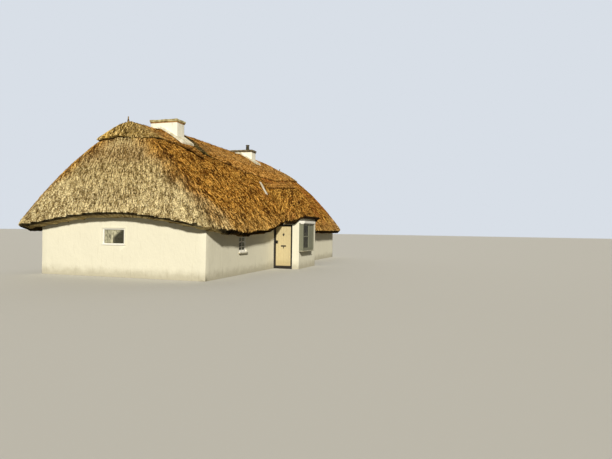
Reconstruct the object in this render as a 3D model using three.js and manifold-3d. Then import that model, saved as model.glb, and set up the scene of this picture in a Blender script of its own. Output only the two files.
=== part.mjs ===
// A long, single-storey thatched cottage with hipped ends, limewashed walls, a thatched entrance porch
// with a box bay window, and two chimney stacks through the ridge.
// Millimetres, +Z up. The origin is under the middle of the floor, at ground level. +Y runs along the
// house, away from the end wall that is seen in full, and +X points out of the front wall.
import * as THREE from 'three';
import { mergeVertices } from 'three/addons/utils/BufferGeometryUtils.js';
import Module from 'manifold-3d';

const wasm = await Module();
wasm.setup();

// Clearance between touching pieces.
const GAP = 0.3;

// Walls.
const HOUSE_WIDTH = 7050;
const HOUSE_LENGTH = 18000;
const WALL = 560;
const FLOOR_TOP = 120;
const HALF_WIDTH = HOUSE_WIDTH / 2;
const HALF_LENGTH = HOUSE_LENGTH / 2;

// Thatch: overhangs are measured from the walls' outer faces to the upper edge of the cut butt.
const THATCH = 330;
const END_THATCH = 500;
const RIDGE_THICKENING = 1.4;
const RIDGE_HALF_TOP = 60;
const FRONT_OVERHANG = 640;
const BACK_OVERHANG = 1200;
const END_OVERHANG = 560;
const CORNER_RADIUS = 900;
const SIDE_EAVE_HEIGHT = 1820;
const END_EAVE_RISE = 500;
const RIDGE_X = -75;
const RIDGE_SETBACK = 600;
const HIP_JOINT_SETBACK = 130;
const RIDGE_HEIGHT = 5950;
const RIDGE_END_DROP = 200;
const RIDGE_END_DROP_LENGTH = 4200;
const SLOPE_BULGE = 0.115;
const PORCH_EAVE_LIFT = 420;
const FRONT_SAG = 120;
const FRONT_SAG_MIDDLE = 2200 - HALF_LENGTH;
const FRONT_SAG_HALF = 1500;

// Ridge cap: a raised band of sedge along the ridge and round both ends.
const CAP_THICKNESS = 75;
const CAP_START = 0.8;

// Porch: a small thatched wing in front of the inner doorway.
const PORCH_NEAR = 6600 - HALF_LENGTH;
const PORCH_FAR = 9300 - HALF_LENGTH;
const PORCH_MIDDLE = (PORCH_NEAR + PORCH_FAR) / 2;
const PORCH_PROJECTION = 1240;
const PORCH_WALL = 300;
const PORCH_FRONT = HALF_WIDTH + PORCH_PROJECTION;
const PORCH_RIDGE_HEIGHT = 4060;
const PORCH_EAVE_HEIGHT = 2240;
const PORCH_OVERHANG = 330;
const PORCH_THATCH = 260;
const PORCH_RIDGE_END = PORCH_FRONT - 900;
const PORCH_CORNER_RADIUS = 500;
const PORCH_BULGE = 0.06;
const PORCH_FRONT_LIFT = 220;
const PORCH_CAP_THICKNESS = 50;

// Front door, hung in the porch's near wall.
const DOOR_WIDTH = 762;
const DOOR_TOP = 1995;
const DOOR_THICKNESS = 44;
const DOOR_FRAME = 70;
const DOOR_FRAME_DEPTH = 110;
const DOOR_SWING_GAP = 7;
const DOOR_SETBACK = 15;
const DOOR_INNER_EDGE = HALF_WIDTH + 1 + DOOR_FRAME + DOOR_SWING_GAP;
const DOOR_OUTER_EDGE = DOOR_INNER_EDGE + DOOR_WIDTH;
const DOOR_SILL = FLOOR_TOP;
const LETTERPLATE_HEIGHT = 1060;
const KNOCKER_HEIGHT = 1600;
const KNOB_HEIGHT = 1240;

// Two pin hinges on the room side of the door: the pins belong to the frame, the knuckles to the leaf.
const HINGE_HEIGHTS = [380, 1700];
const HINGE_AXIS_X = DOOR_OUTER_EDGE + 3;
const HINGE_AXIS_OFFSET = 8;
const PIN_RADIUS = 4;
const KNUCKLE_BORE = 4.6;
const KNUCKLE_RADIUS = 8;
const KNUCKLE_HALF = 40;
const PIN_HALF = 60;
const HINGE_SIDES = 16;

// Inner doorway from the porch into the house.
const INNER_DOORWAY_WIDTH = 900;
const INNER_DOORWAY_HEIGHT = 2000;
const DOORWAY_NEAR = PORCH_MIDDLE - INNER_DOORWAY_WIDTH / 2;
const DOORWAY_FAR = PORCH_MIDDLE + INNER_DOORWAY_WIDTH / 2;

// Windows: clear width and height of the hole in the wall, the height of its sill, the width of the
// frame's bars, and how far the frame stands back from the wall's outer face.
const END_WINDOW = { width: 960, height: 620, sill: 1170, bar: 42, setback: 12 };
const SASH_WINDOW = { width: 720, height: 840, sill: 880, bar: 55, setback: 30 };
const SMALL_WINDOW = { width: 700, height: 700, sill: 900, bar: 55, setback: 120 };
const FRAME_DEPTH = 70;
const GLASS = 12;
const SILL_THICKNESS = 50;
const SILL_PROJECTION = 25;
const SURROUND_BAND = 60;
const SURROUND_THICKNESS = 14;

// Box bay window: it stands against the face of the porch's front wall, almost level with the near corner.
const BAY_WIDTH = 1690;
const BAY_CORNER_INSET = 20;
const BAY_MIDDLE = PORCH_NEAR + BAY_CORNER_INSET + BAY_WIDTH / 2;
const BAY_PROJECTION = 200;
const BAY_SILL = 860;
const BAY_HEAD = 2140;
const BAY_BAR = 60;
const BAY_PIER = 50;
const BAY_CORNICE = 110;
const BAY_CORNICE_OUT = 80;
const BAY_CORNICE_SIDE = 40;

// Chimney stacks.
const STACK_WIDTH = 1250;
const STACK_DEPTH = 600;
const STACK_CENTRE_X = 25;
const SLAB_OVERHANG = 45;
const SLAB_THICKNESS = 110;
const FILLET_WIDTH = 150;
const FILLET_HEIGHT = 60;
const STACKS = [
  { name: 'near_chimney', y: 2700 - HALF_LENGTH + STACK_DEPTH / 2, top: 6250, frontReach: 370 },
  { name: 'far_chimney', y: 10450 - HALF_LENGTH + STACK_DEPTH / 2, top: 6190, frontReach: 260 },
];

// Colours from the photograph.
const LIMEWASH = { color: 0xe9e2cf, roughness: 0.95, metalness: 0 };
const THATCH_FRONT = { color: 0x8a5f2c, roughness: 1, metalness: 0 };
const THATCH_END = { color: 0x9b8a63, roughness: 1, metalness: 0 };
const SEDGE = { color: 0x7d6a3c, roughness: 1, metalness: 0 };
const CREAM_PAINT = { color: 0xece6d2, roughness: 0.55, metalness: 0 };
const WHITE_PAINT = { color: 0xe8e8e4, roughness: 0.5, metalness: 0 };
const GREY_PAINT = { color: 0xaab0a6, roughness: 0.55, metalness: 0 };
const BLACK_PAINT = { color: 0x141414, roughness: 0.45, metalness: 0 };
const IRON = { color: 0x17171a, roughness: 0.45, metalness: 0.6 };
const WINDOW_GLASS = { color: 0x2b3438, roughness: 0.08, metalness: 0, transparent: true, opacity: 0.45 };
const CEMENT = { color: 0xb9b3a4, roughness: 0.9, metalness: 0 };
const STONE = { color: 0x8e8a80, roughness: 0.9, metalness: 0 };
const CLAY = { color: 0x3b322c, roughness: 0.85, metalness: 0 };

const cottage = new THREE.Group();
cottage.name = 'thatched_cottage';

// Turns a closed geometry into a solid that can be joined and cut.
function solidOf(geometry) {
  const bare = geometry.clone();
  bare.deleteAttribute('normal');
  bare.deleteAttribute('uv');
  const merged = mergeVertices(bare, 1e-4);
  return new wasm.Manifold(new wasm.Mesh({
    numProp: 3,
    vertProperties: new Float32Array(merged.attributes.position.array),
    triVerts: new Uint32Array(merged.index.array),
  }));
}

// Turns a solid back into a geometry.
function geometryOf(solid) {
  const mesh = solid.getMesh();
  const geometry = new THREE.BufferGeometry();
  geometry.setAttribute('position', new THREE.BufferAttribute(new Float32Array(mesh.vertProperties), 3));
  geometry.setIndex(new THREE.BufferAttribute(new Uint32Array(mesh.triVerts), 1));
  geometry.computeVertexNormals();
  return geometry;
}

function addPiece(name, geometry, finish, parent = cottage) {
  const mesh = new THREE.Mesh(geometry, new THREE.MeshStandardMaterial(finish));
  mesh.name = name;
  parent.add(mesh);
  return mesh;
}

function addSolid(name, solid, finish) {
  return addPiece(name, geometryOf(solid), finish);
}

// A box between two opposite corners.
function boxBetween(low, high) {
  const geometry = new THREE.BoxGeometry(high[0] - low[0], high[1] - low[1], high[2] - low[2]);
  geometry.translate((low[0] + high[0]) / 2, (low[1] + high[1]) / 2, (low[2] + high[2]) / 2);
  return geometry;
}

function blockBetween(low, high) {
  return solidOf(boxBetween(low, high));
}

// Triangles that close a loop from below, seen in plan.
function planTriangles(loop) {
  const outline = loop.map((point) => new THREE.Vector2(point.x, point.y));
  return THREE.ShapeUtils.triangulateShape(outline, []).flatMap(([a, b, c]) => {
    const area = THREE.ShapeUtils.area([outline[a], outline[b], outline[c]]);
    return area > 0 ? [a, c, b] : [a, b, c];
  });
}

// Triangles that close a loop along a ridge: its points pair up from its two ends towards the middle.
function ridgeTriangles(first, count) {
  const triangles = [];
  for (let i = 0; i < count / 2 - 1; i += 1) {
    const partner = count - 1 - i;
    triangles.push(first + i, first + partner - 1, first + i + 1);
    triangles.push(first + i, first + partner, first + partner - 1);
  }
  return triangles;
}

// A closed skin through a stack of loops that have the same number of points and run clockwise in plan.
// It is closed along a ridge at the top, and by the triangles that are given at the bottom. A square
// between two loops is split alike whether the loops climb or fall, so that faces lie flat together.
function stackOfLoops(loops, bottomTriangles) {
  const count = loops[0].length;
  const positions = loops.flat().flatMap((point) => [point.x, point.y, point.z]);
  const triangles = [...bottomTriangles];
  for (let level = 0; level + 1 < loops.length; level += 1) {
    for (let i = 0; i < count; i += 1) {
      const a = level * count + i;
      const b = level * count + ((i + 1) % count);
      if (loops[level + 1][i].z > loops[level][i].z) {
        triangles.push(a, b + count, b, a, a + count, b + count);
      } else {
        triangles.push(a, a + count, b, b, a + count, b + count);
      }
    }
  }
  triangles.push(...ridgeTriangles((loops.length - 1) * count, count));
  const geometry = new THREE.BufferGeometry();
  geometry.setAttribute('position', new THREE.BufferAttribute(new Float32Array(positions), 3));
  geometry.setIndex(triangles);
  return geometry;
}

const mix = THREE.MathUtils.lerp;
const smooth = THREE.MathUtils.smoothstep;

// Rise of a thatched slope at a fraction of its run: a little fuller than straight.
function slopeProfile(t, bulge) {
  return t + bulge * 4 * t * (1 - t);
}

// Height of the ridge: it dips towards both ends.
function ridgeHeight(y) {
  const fromEnd = HALF_LENGTH - RIDGE_SETBACK - Math.abs(y);
  const drop = 1 - smooth(fromEnd, 0, RIDGE_END_DROP_LENGTH);
  return RIDGE_HEIGHT - RIDGE_END_DROP * drop;
}

// Height of the eave's upper edge: it arches over the end walls, sags in one place along the front and
// lifts at the porch.
function eaveHeight(x, y) {
  const acrossEnd = THREE.MathUtils.clamp(Math.abs(x) / (HALF_WIDTH + FRONT_OVERHANG), 0, 1);
  const atEnd = smooth(Math.abs(y), HALF_LENGTH - CORNER_RADIUS, HALF_LENGTH + END_OVERHANG);
  const arch = END_EAVE_RISE * Math.cos(acrossEnd * Math.PI / 2) ** 1.3 * atEnd;
  const atFront = x > HALF_WIDTH ? 1 : 0;
  const nearPorch = atFront * (1 - smooth(Math.abs(y - PORCH_MIDDLE), 1300, 3600));
  const sag = atFront * (1 - smooth(Math.abs(y - FRONT_SAG_MIDDLE), 0, FRONT_SAG_HALF));
  return SIDE_EAVE_HEIGHT + arch + PORCH_EAVE_LIFT * nearPorch - FRONT_SAG * sag;
}

// Stations round the eave, from the middle of the far end along the front to the near end, and back.
// Each one has its eave point and the ridge point that its slope line runs to.
const SIDE_STEPS = 26;
const CORNER_STEPS = 5;
const END_STEPS = 5;
const FRONT_EAVE = HALF_WIDTH + FRONT_OVERHANG;
const BACK_EAVE = -HALF_WIDTH - BACK_OVERHANG;
const END_EAVE = HALF_LENGTH + END_OVERHANG;
const RIDGE_END = HALF_LENGTH - RIDGE_SETBACK;
const STRAIGHT_END = END_EAVE - CORNER_RADIUS;

function quarterStations(side, end) {
  const eaveX = side > 0 ? FRONT_EAVE : BACK_EAVE;
  const cornerX = eaveX - side * CORNER_RADIUS;
  const stations = [];
  for (let i = 0; i < END_STEPS; i += 1) {
    const x = mix(RIDGE_X, cornerX, (i + 0.5) / (END_STEPS + 0.5));
    stations.push({ x, y: end * END_EAVE, ridgeY: end * RIDGE_END, normal: [0, end] });
  }
  for (let i = 0; i <= CORNER_STEPS; i += 1) {
    const angle = (1 - i / CORNER_STEPS) * Math.PI / 2;
    const x = cornerX + side * CORNER_RADIUS * Math.cos(angle);
    const y = end * (STRAIGHT_END + CORNER_RADIUS * Math.sin(angle));
    const normal = [side * Math.cos(angle), end * Math.sin(angle)];
    stations.push({ x, y, ridgeY: end * RIDGE_END, normal });
  }
  return stations;
}

function sideStations(side) {
  const eaveX = side > 0 ? FRONT_EAVE : BACK_EAVE;
  const stations = [];
  for (let i = 1; i < SIDE_STEPS; i += 1) {
    const along = 1 - 2 * i / SIDE_STEPS;
    stations.push({ x: eaveX, y: along * STRAIGHT_END, ridgeY: along * RIDGE_END, normal: [side, 0] });
  }
  return stations;
}

const frontStations = [
  ...quarterStations(1, 1),
  ...sideStations(1),
  ...quarterStations(1, -1).reverse(),
];
const backStations = [
  ...quarterStations(-1, 1),
  ...sideStations(-1),
  ...quarterStations(-1, -1).reverse(),
];
const eaveStations = [...frontStations, ...backStations.reverse()];

// Thickness of the thatch at a station's eave: the end slopes hang thicker, down to the wall head.
function buttThickness(station) {
  return mix(THATCH, END_THATCH, smooth(Math.abs(station.y), STRAIGHT_END, END_EAVE));
}

// Point on a thatched slope: t runs from 0 at the eave to 1 at the ridge, and depth is measured from
// the outer face, square to the slope at the eave and straight down at the ridge. The normal points out
// of the eave's line in plan, and the pitch turns gently with it round a corner.
function slopePoint(eave, ridge, normal, t, depth, ridgeDepth, bulge) {
  const endward = Math.sqrt(Math.abs(normal[1]));
  const run = mix(Math.abs(eave.x - ridge.x), Math.abs(eave.y - ridge.y), endward);
  const rise = ridge.z - eave.z;
  const slope = Math.hypot(run, rise);
  const inward = depth * rise / slope * (1 - t);
  return new THREE.Vector3(
    mix(eave.x, ridge.x, t) - normal[0] * inward,
    mix(eave.y, ridge.y, t) - normal[1] * inward,
    mix(eave.z, ridge.z, slopeProfile(t, bulge)) - mix(depth * run / slope, ridgeDepth, t),
  );
}

// The main roof: layer 0 is the outer face of the thatch and layer 1 its underside.
function thatchPoint(station, t, layer, clearance) {
  const sideOf = station.x > RIDGE_X ? 1 : -1;
  const eave = new THREE.Vector3(station.x, station.y, eaveHeight(station.x, station.y));
  const ridge = new THREE.Vector3(
    RIDGE_X + sideOf * RIDGE_HALF_TOP,
    station.ridgeY,
    ridgeHeight(station.ridgeY),
  );
  const depth = layer * buttThickness(station) + clearance;
  const ridgeDepth = layer * THATCH * RIDGE_THICKENING + clearance * RIDGE_THICKENING;
  return slopePoint(eave, ridge, station.normal, t, depth, ridgeDepth, SLOPE_BULGE);
}

const SLOPE_LEVELS = [0, 0.1, 0.22, 0.36, 0.5, 0.65, CAP_START, 0.9, 1];
const CAP_LEVELS = [CAP_START, 0.9, 1];
const EDGE_STEP = 0.0003;
const SKIRT = 4000;
const SHORT_SKIRT = 1000;

function loweredLoop(loop, drop) {
  return loop.map((point) => new THREE.Vector3(point.x, point.y, point.z - drop));
}

// Loops over one face of the thatch, one for each level up the slope.
function faceLoops(pointAt, stations, layer, clearance, levels) {
  return levels.map((t) => stations.map((station) => pointAt(station, t, layer, clearance)));
}

// The space inside a layer of thatch, from its eave up to its ridge. A skirt carries it straight down.
function massUnder(pointAt, stations, layer, clearance, levels, skirt) {
  const face = faceLoops(pointAt, stations, layer, clearance, levels);
  const loops = skirt > 0 ? [loweredLoop(face[0], skirt), ...face] : face;
  return solidOf(stackOfLoops(loops, planTriangles(loops[0])));
}

// A roof filled solid inside its outer face and its butt, and a little below, grown by a clearance.
function filledRoof(pointAt, stations, clearance) {
  const levels = [-EDGE_STEP, ...SLOPE_LEVELS.slice(1)];
  const outer = faceLoops(pointAt, stations, 0, -clearance, levels);
  const butt = faceLoops(pointAt, stations, 1, clearance, [-EDGE_STEP])[0];
  const skirt = loweredLoop(butt, SHORT_SKIRT);
  return solidOf(stackOfLoops([skirt, butt, ...outer], planTriangles(skirt)));
}

// A coat of thatch with its butt cut square to the slope: up its underside, and back over the outside.
function thatchCoat(pointAt, stations) {
  const outer = faceLoops(pointAt, stations, 0, 0, SLOPE_LEVELS);
  const inner = faceLoops(pointAt, stations, 1, 0, SLOPE_LEVELS);
  const underRidge = ridgeTriangles(0, stations.length).reverse();
  return solidOf(stackOfLoops([...inner.reverse(), ...outer], underRidge));
}

// Porch roof: stations from the middle of its hipped front round the near side to the house, and back.
const PORCH_ROOT = HALF_WIDTH - 2600;
const PORCH_FRONT_EAVE = PORCH_FRONT + PORCH_OVERHANG;
const PORCH_HALF_SPAN = (PORCH_FAR - PORCH_NEAR) / 2 + PORCH_OVERHANG;
const PORCH_SIDE_STEPS = 9;

function porchSideStations(side) {
  const cornerY = PORCH_HALF_SPAN - PORCH_CORNER_RADIUS;
  const cornerX = PORCH_FRONT_EAVE - PORCH_CORNER_RADIUS;
  const stations = [0.2, 0.6].map((part) => ({
    x: PORCH_FRONT_EAVE,
    y: PORCH_MIDDLE + side * part * cornerY,
    ridgeX: PORCH_RIDGE_END,
    normal: [1, 0],
    side,
  }));
  for (let i = 0; i <= CORNER_STEPS; i += 1) {
    const angle = i / CORNER_STEPS * Math.PI / 2;
    stations.push({
      x: cornerX + PORCH_CORNER_RADIUS * Math.cos(angle),
      y: PORCH_MIDDLE + side * (cornerY + PORCH_CORNER_RADIUS * Math.sin(angle)),
      ridgeX: PORCH_RIDGE_END,
      normal: [Math.cos(angle), side * Math.sin(angle)],
      side,
    });
  }
  for (let i = 1; i <= PORCH_SIDE_STEPS; i += 1) {
    const along = i / PORCH_SIDE_STEPS;
    stations.push({
      x: mix(cornerX, PORCH_ROOT, along),
      y: PORCH_MIDDLE + side * PORCH_HALF_SPAN,
      ridgeX: mix(PORCH_RIDGE_END, PORCH_ROOT, along),
      normal: [0, side],
      side,
    });
  }
  return stations;
}

const porchStations = [...porchSideStations(-1), ...porchSideStations(1).reverse()];

function porchPoint(station, t, layer, clearance) {
  const atFront = smooth(station.x, PORCH_FRONT_EAVE - PORCH_CORNER_RADIUS, PORCH_FRONT_EAVE);
  const eaveZ = PORCH_EAVE_HEIGHT + PORCH_FRONT_LIFT * atFront;
  const eave = new THREE.Vector3(station.x, station.y, eaveZ);
  const ridgeY = PORCH_MIDDLE + station.side * RIDGE_HALF_TOP / 2;
  const ridge = new THREE.Vector3(station.ridgeX, ridgeY, PORCH_RIDGE_HEIGHT);
  const depth = layer * PORCH_THATCH + clearance;
  return slopePoint(eave, ridge, station.normal, t, depth, depth * RIDGE_THICKENING, PORCH_BULGE);
}

// Masses that the other pieces are cut by.
const roofOuter = filledRoof(thatchPoint, eaveStations, GAP);
const porchSpace = massUnder(porchPoint, porchStations, 1, GAP, SLOPE_LEVELS, SKIRT);
const porchUnderside = massUnder(porchPoint, porchStations, 1, 0, SLOPE_LEVELS, SKIRT);
const FAR_AWAY = 20000;

// Chimney stacks stand on the floor and rise through the thatch.
function stackBlock(stack, clearance, bottom) {
  const halfWidth = STACK_WIDTH / 2 + clearance;
  const halfDepth = STACK_DEPTH / 2 + clearance;
  return blockBetween(
    [STACK_CENTRE_X - halfWidth, stack.y - halfDepth, bottom],
    [STACK_CENTRE_X + halfWidth, stack.y + halfDepth, stack.top],
  );
}

function withoutStacks(solid) {
  return STACKS.reduce((rest, stack) => rest.subtract(stackBlock(stack, GAP, FLOOR_TOP)), solid);
}

// A wedge in plan from one end of the ridge out past the corners of that end.
function hipWedge(end, clearance) {
  const tip = end * (RIDGE_END - HIP_JOINT_SETBACK - clearance * 2);
  const reach = 3;
  const cornerInset = CORNER_RADIUS * (1 - Math.SQRT1_2);
  const frontX = FRONT_EAVE - cornerInset;
  const backX = BACK_EAVE + cornerInset;
  const cornerY = end * (END_EAVE - cornerInset);
  const outline = new THREE.Shape([
    new THREE.Vector2(RIDGE_X, tip),
    new THREE.Vector2(mix(RIDGE_X, frontX, reach) + clearance, mix(tip, cornerY, reach)),
    new THREE.Vector2(mix(RIDGE_X, backX, reach) - clearance, mix(tip, cornerY, reach)),
  ]);
  const geometry = new THREE.ExtrudeGeometry(outline, { depth: FAR_AWAY, bevelEnabled: false });
  return solidOf(geometry);
}

// Main thatch: two long slopes and two hips.
function buildMainThatch() {
  const coat = withoutStacks(thatchCoat(thatchPoint, eaveStations));
  const porchRoom = porchUnderside.intersect(blockBetween(
    [HALF_WIDTH, PORCH_NEAR - GAP, 0],
    [PORCH_FRONT, PORCH_FAR + GAP, RIDGE_HEIGHT],
  ));
  const slopes = coat.subtract(hipWedge(-1, GAP)).subtract(hipWedge(1, GAP));
  const frontHalf = blockBetween([RIDGE_X + GAP / 2, -FAR_AWAY, 0], [FAR_AWAY, FAR_AWAY, FAR_AWAY]);
  const backHalf = blockBetween([-FAR_AWAY, -FAR_AWAY, 0], [RIDGE_X - GAP / 2, FAR_AWAY, FAR_AWAY]);
  addSolid('front_thatch', slopes.intersect(frontHalf).subtract(porchRoom), THATCH_FRONT);
  addSolid('back_thatch', slopes.intersect(backHalf), THATCH_FRONT);
  addSolid('near_hip_thatch', coat.intersect(hipWedge(-1, 0)), THATCH_END);
  addSolid('far_hip_thatch', coat.intersect(hipWedge(1, 0)), THATCH_END);
}

function buildRidgeCap() {
  const outer = massUnder(thatchPoint, eaveStations, 0, -CAP_THICKNESS, CAP_LEVELS, 0);
  addSolid('ridge_cap', withoutStacks(outer.subtract(roofOuter)), SEDGE);
}

function buildPorchThatch() {
  const coat = thatchCoat(porchPoint, porchStations).subtract(roofOuter).subtract(
    blockBetween([-FAR_AWAY, -FAR_AWAY, 0], [HALF_WIDTH + GAP, FAR_AWAY, PORCH_EAVE_HEIGHT]),
  );
  const nearHalf = blockBetween([0, -FAR_AWAY, 0], [FAR_AWAY, PORCH_MIDDLE - GAP / 2, FAR_AWAY]);
  const farHalf = blockBetween([0, PORCH_MIDDLE + GAP / 2, 0], [FAR_AWAY, FAR_AWAY, FAR_AWAY]);
  addSolid('porch_thatch_near', coat.intersect(nearHalf), THATCH_FRONT);
  addSolid('porch_thatch_far', coat.intersect(farHalf), THATCH_FRONT);
  const capOuter = massUnder(porchPoint, porchStations, 0, -PORCH_CAP_THICKNESS, CAP_LEVELS, 0);
  const capInner = filledRoof(porchPoint, porchStations, GAP);
  addSolid('porch_ridge_cap', capOuter.subtract(capInner).subtract(roofOuter), SEDGE);
}

// A twisted straw finial on each end of the ridge.
function buildFinial(name, end) {
  const radius = 45;
  const height = 290;
  const lean = -110;
  const waist = [radius * 0.7, height * 0.5];
  const knot = [radius * 0.9, height * 0.8];
  const profile = [[0, 0], [radius, 0], waist, knot, [0, height]];
  const geometry = new THREE.LatheGeometry(profile.map(([r, z]) => new THREE.Vector2(r, z)), 10);
  geometry.rotateX(Math.PI / 2);
  const y = end * (RIDGE_END - 60);
  geometry.translate(RIDGE_X + lean, y, ridgeHeight(y) - 60);
  const capOuter = massUnder(thatchPoint, eaveStations, 0, -CAP_THICKNESS - GAP, SLOPE_LEVELS, 0);
  addSolid(name, solidOf(geometry).subtract(capOuter), SEDGE);
}

// A hole through a wall for a window, as a block that runs past both faces.
function windowHole(window, centre, across) {
  const margin = WALL;
  const half = window.width / 2;
  const low = [centre[0] - margin, centre[1] - half, window.sill];
  const high = [centre[0] + margin, centre[1] + half, window.sill + window.height];
  if (across === 'x') {
    low[0] = centre[0] - half;
    high[0] = centre[0] + half;
    low[1] = centre[1] - margin;
    high[1] = centre[1] + margin;
  }
  return blockBetween(low, high);
}

// Windows of the house: where each one's frame stands and which way it faces.
const END_WINDOW_X = 3270 - HALF_WIDTH;
const WINDOWS = [
  { name: 'near_end_window', size: END_WINDOW, x: END_WINDOW_X, y: -HALF_LENGTH, facing: [0, -1] },
  { name: 'far_end_window', size: END_WINDOW, x: END_WINDOW_X, y: HALF_LENGTH, facing: [0, 1] },
  { name: 'front_sash_near', size: SASH_WINDOW, x: HALF_WIDTH, y: 3080 - HALF_LENGTH, facing: [1, 0] },
  { name: 'front_sash_far', size: SASH_WINDOW, x: HALF_WIDTH, y: 12900 - HALF_LENGTH, facing: [1, 0] },
  { name: 'back_window_near', size: SMALL_WINDOW, x: -HALF_WIDTH, y: 5400 - HALF_LENGTH, facing: [-1, 0] },
  { name: 'back_window_far', size: SMALL_WINDOW, x: -HALF_WIDTH, y: 13400 - HALF_LENGTH, facing: [-1, 0] },
];

function holesFor(facing) {
  return WINDOWS.filter((window) => window.facing[0] === facing[0] && window.facing[1] === facing[1]).map(
    (window) => windowHole(window.size, [window.x, window.y], facing[0] === 0 ? 'x' : 'y'),
  );
}

function cutAll(solid, cutters) {
  return cutters.reduce((rest, cutter) => rest.subtract(cutter), solid);
}

// A window of four frame bars with a projecting sill, and one pane. Local X runs along the wall, local
// Y points out of it, and the origin is on the wall's outer face over the sill.
function buildWindow({ name, size, x, y, facing }) {
  const half = size.width / 2 - GAP;
  const outer = -size.setback;
  const inner = outer - FRAME_DEPTH;
  const low = size.sill + GAP;
  const high = size.sill + size.height - GAP;
  const { bar } = size;
  const overSill = low + Math.max(bar, SILL_THICKNESS);
  const bars = blockBetween([-half, inner, low], [half, outer, high]);
  const hole = blockBetween([-half + bar, inner - 1, overSill], [half - bar, outer + 1, high - bar]);
  const sill = blockBetween([-half, inner, low], [half, SILL_PROJECTION, low + SILL_THICKNESS]);
  const group = new THREE.Group();
  group.position.set(x, y, 0);
  group.rotation.z = Math.atan2(facing[1], facing[0]) - Math.PI / 2;
  cottage.add(group);
  addPiece(`${name}_frame`, geometryOf(bars.add(sill).subtract(hole)), WHITE_PAINT, group);
  const paneHalf = half - bar - GAP;
  const pane = boxBetween(
    [-paneHalf, (inner + outer - GLASS) / 2, overSill + GAP],
    [paneHalf, (inner + outer + GLASS) / 2, high - bar - GAP],
  );
  addPiece(`${name}_glass`, pane, WINDOW_GLASS, group);
}

// A flat plaster band round the near end window.
function buildWindowSurround() {
  const band = SURROUND_BAND;
  const half = END_WINDOW.width / 2;
  const low = END_WINDOW.sill;
  const high = low + END_WINDOW.height;
  const outer = -HALF_LENGTH - GAP;
  const plate = blockBetween(
    [END_WINDOW_X - half - band, outer - SURROUND_THICKNESS, low],
    [END_WINDOW_X + half + band, outer, high + band],
  );
  const hole = blockBetween(
    [END_WINDOW_X - half, outer - 100, low - 1],
    [END_WINDOW_X + half, outer + 100, high],
  );
  addSolid('near_end_window_surround', plate.subtract(hole), LIMEWASH);
}

// What stands under the main thatch of a block of a wall that faces a given way, clear of the thatch.
function underThatch(block, facing) {
  const shift = new THREE.Vector3(-facing[0] * GAP, -facing[1] * GAP, -GAP);
  const pointAt = (...place) => thatchPoint(...place).add(shift);
  return block.intersect(massUnder(pointAt, eaveStations, 1, 0, SLOPE_LEVELS, SKIRT));
}

// House walls, each cut off under the thatch.
function buildHouseWalls() {
  const inner = HALF_WIDTH - WALL;
  const endInner = HALF_LENGTH - WALL;
  const walls = {
    near_end_wall: [[-HALF_WIDTH, -HALF_LENGTH], [HALF_WIDTH, -endInner], [0, -1]],
    far_end_wall: [[-HALF_WIDTH, endInner], [HALF_WIDTH, HALF_LENGTH], [0, 1]],
    back_wall: [[-HALF_WIDTH, -endInner + GAP], [-inner, endInner - GAP], [-1, 0]],
    front_wall_near: [[inner, -endInner + GAP], [HALF_WIDTH, DOORWAY_NEAR], [1, 0]],
    front_wall_far: [[inner, DOORWAY_FAR], [HALF_WIDTH, endInner - GAP], [1, 0]],
  };
  for (const [name, [low, high, facing]] of Object.entries(walls)) {
    const block = blockBetween([...low, 0], [...high, RIDGE_HEIGHT]);
    addSolid(name, cutAll(underThatch(block, facing), holesFor(facing)), LIMEWASH);
  }
  const over = blockBetween(
    [inner, DOORWAY_NEAR + GAP, FLOOR_TOP + INNER_DOORWAY_HEIGHT],
    [HALF_WIDTH, DOORWAY_FAR - GAP, RIDGE_HEIGHT],
  );
  addSolid('front_wall_over_doorway', underThatch(over, [1, 0]), LIMEWASH);
}

function buildFloors() {
  const inner = HALF_WIDTH - WALL - GAP;
  const endInner = HALF_LENGTH - WALL - GAP;
  addPiece('floor_slab', boxBetween([-inner, -endInner, 0], [inner, endInner, FLOOR_TOP]), CEMENT);
  const porchFloor = boxBetween(
    [HALF_WIDTH + GAP, PORCH_NEAR + PORCH_WALL + GAP, 0],
    [PORCH_FRONT - PORCH_WALL - GAP, PORCH_FAR - PORCH_WALL - GAP, FLOOR_TOP],
  );
  addPiece('porch_floor', porchFloor, CEMENT);
}

// Porch walls stand against the front wall and under both coats of thatch.
function buildPorchWalls() {
  const roots = HALF_WIDTH + GAP;
  const frameOuter = DOOR_OUTER_EDGE + DOOR_SWING_GAP + DOOR_FRAME + GAP;
  const frameTop = DOOR_TOP + DOOR_SWING_GAP + DOOR_FRAME + GAP;
  const under = (low, high) => blockBetween(low, high).intersect(porchSpace);
  const nearInner = PORCH_NEAR + PORCH_WALL;
  const beside = under([frameOuter, PORCH_NEAR, 0], [PORCH_FRONT, nearInner, RIDGE_HEIGHT]);
  addSolid('porch_wall_beside_door', beside, LIMEWASH);
  const over = under([roots, PORCH_NEAR, frameTop], [frameOuter - GAP, nearInner, RIDGE_HEIGHT]);
  addSolid('porch_wall_over_door', over, LIMEWASH);
  const far = under([roots, PORCH_FAR - PORCH_WALL, 0], [PORCH_FRONT, PORCH_FAR, RIDGE_HEIGHT]);
  addSolid('porch_far_wall', far, LIMEWASH);
  const front = under(
    [PORCH_FRONT - PORCH_WALL, nearInner + GAP, 0],
    [PORCH_FRONT, PORCH_FAR - PORCH_WALL - GAP, RIDGE_HEIGHT],
  );
  const bayHole = blockBetween(
    [PORCH_FRONT - 2 * PORCH_WALL, nearInner + BAY_PIER, BAY_SILL + BAY_BAR],
    [PORCH_FRONT + PORCH_WALL, BAY_MIDDLE + BAY_WIDTH / 2 - BAY_BAR, BAY_HEAD - BAY_BAR],
  );
  addSolid('porch_front_wall', front.subtract(bayHole), LIMEWASH);
}

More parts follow.
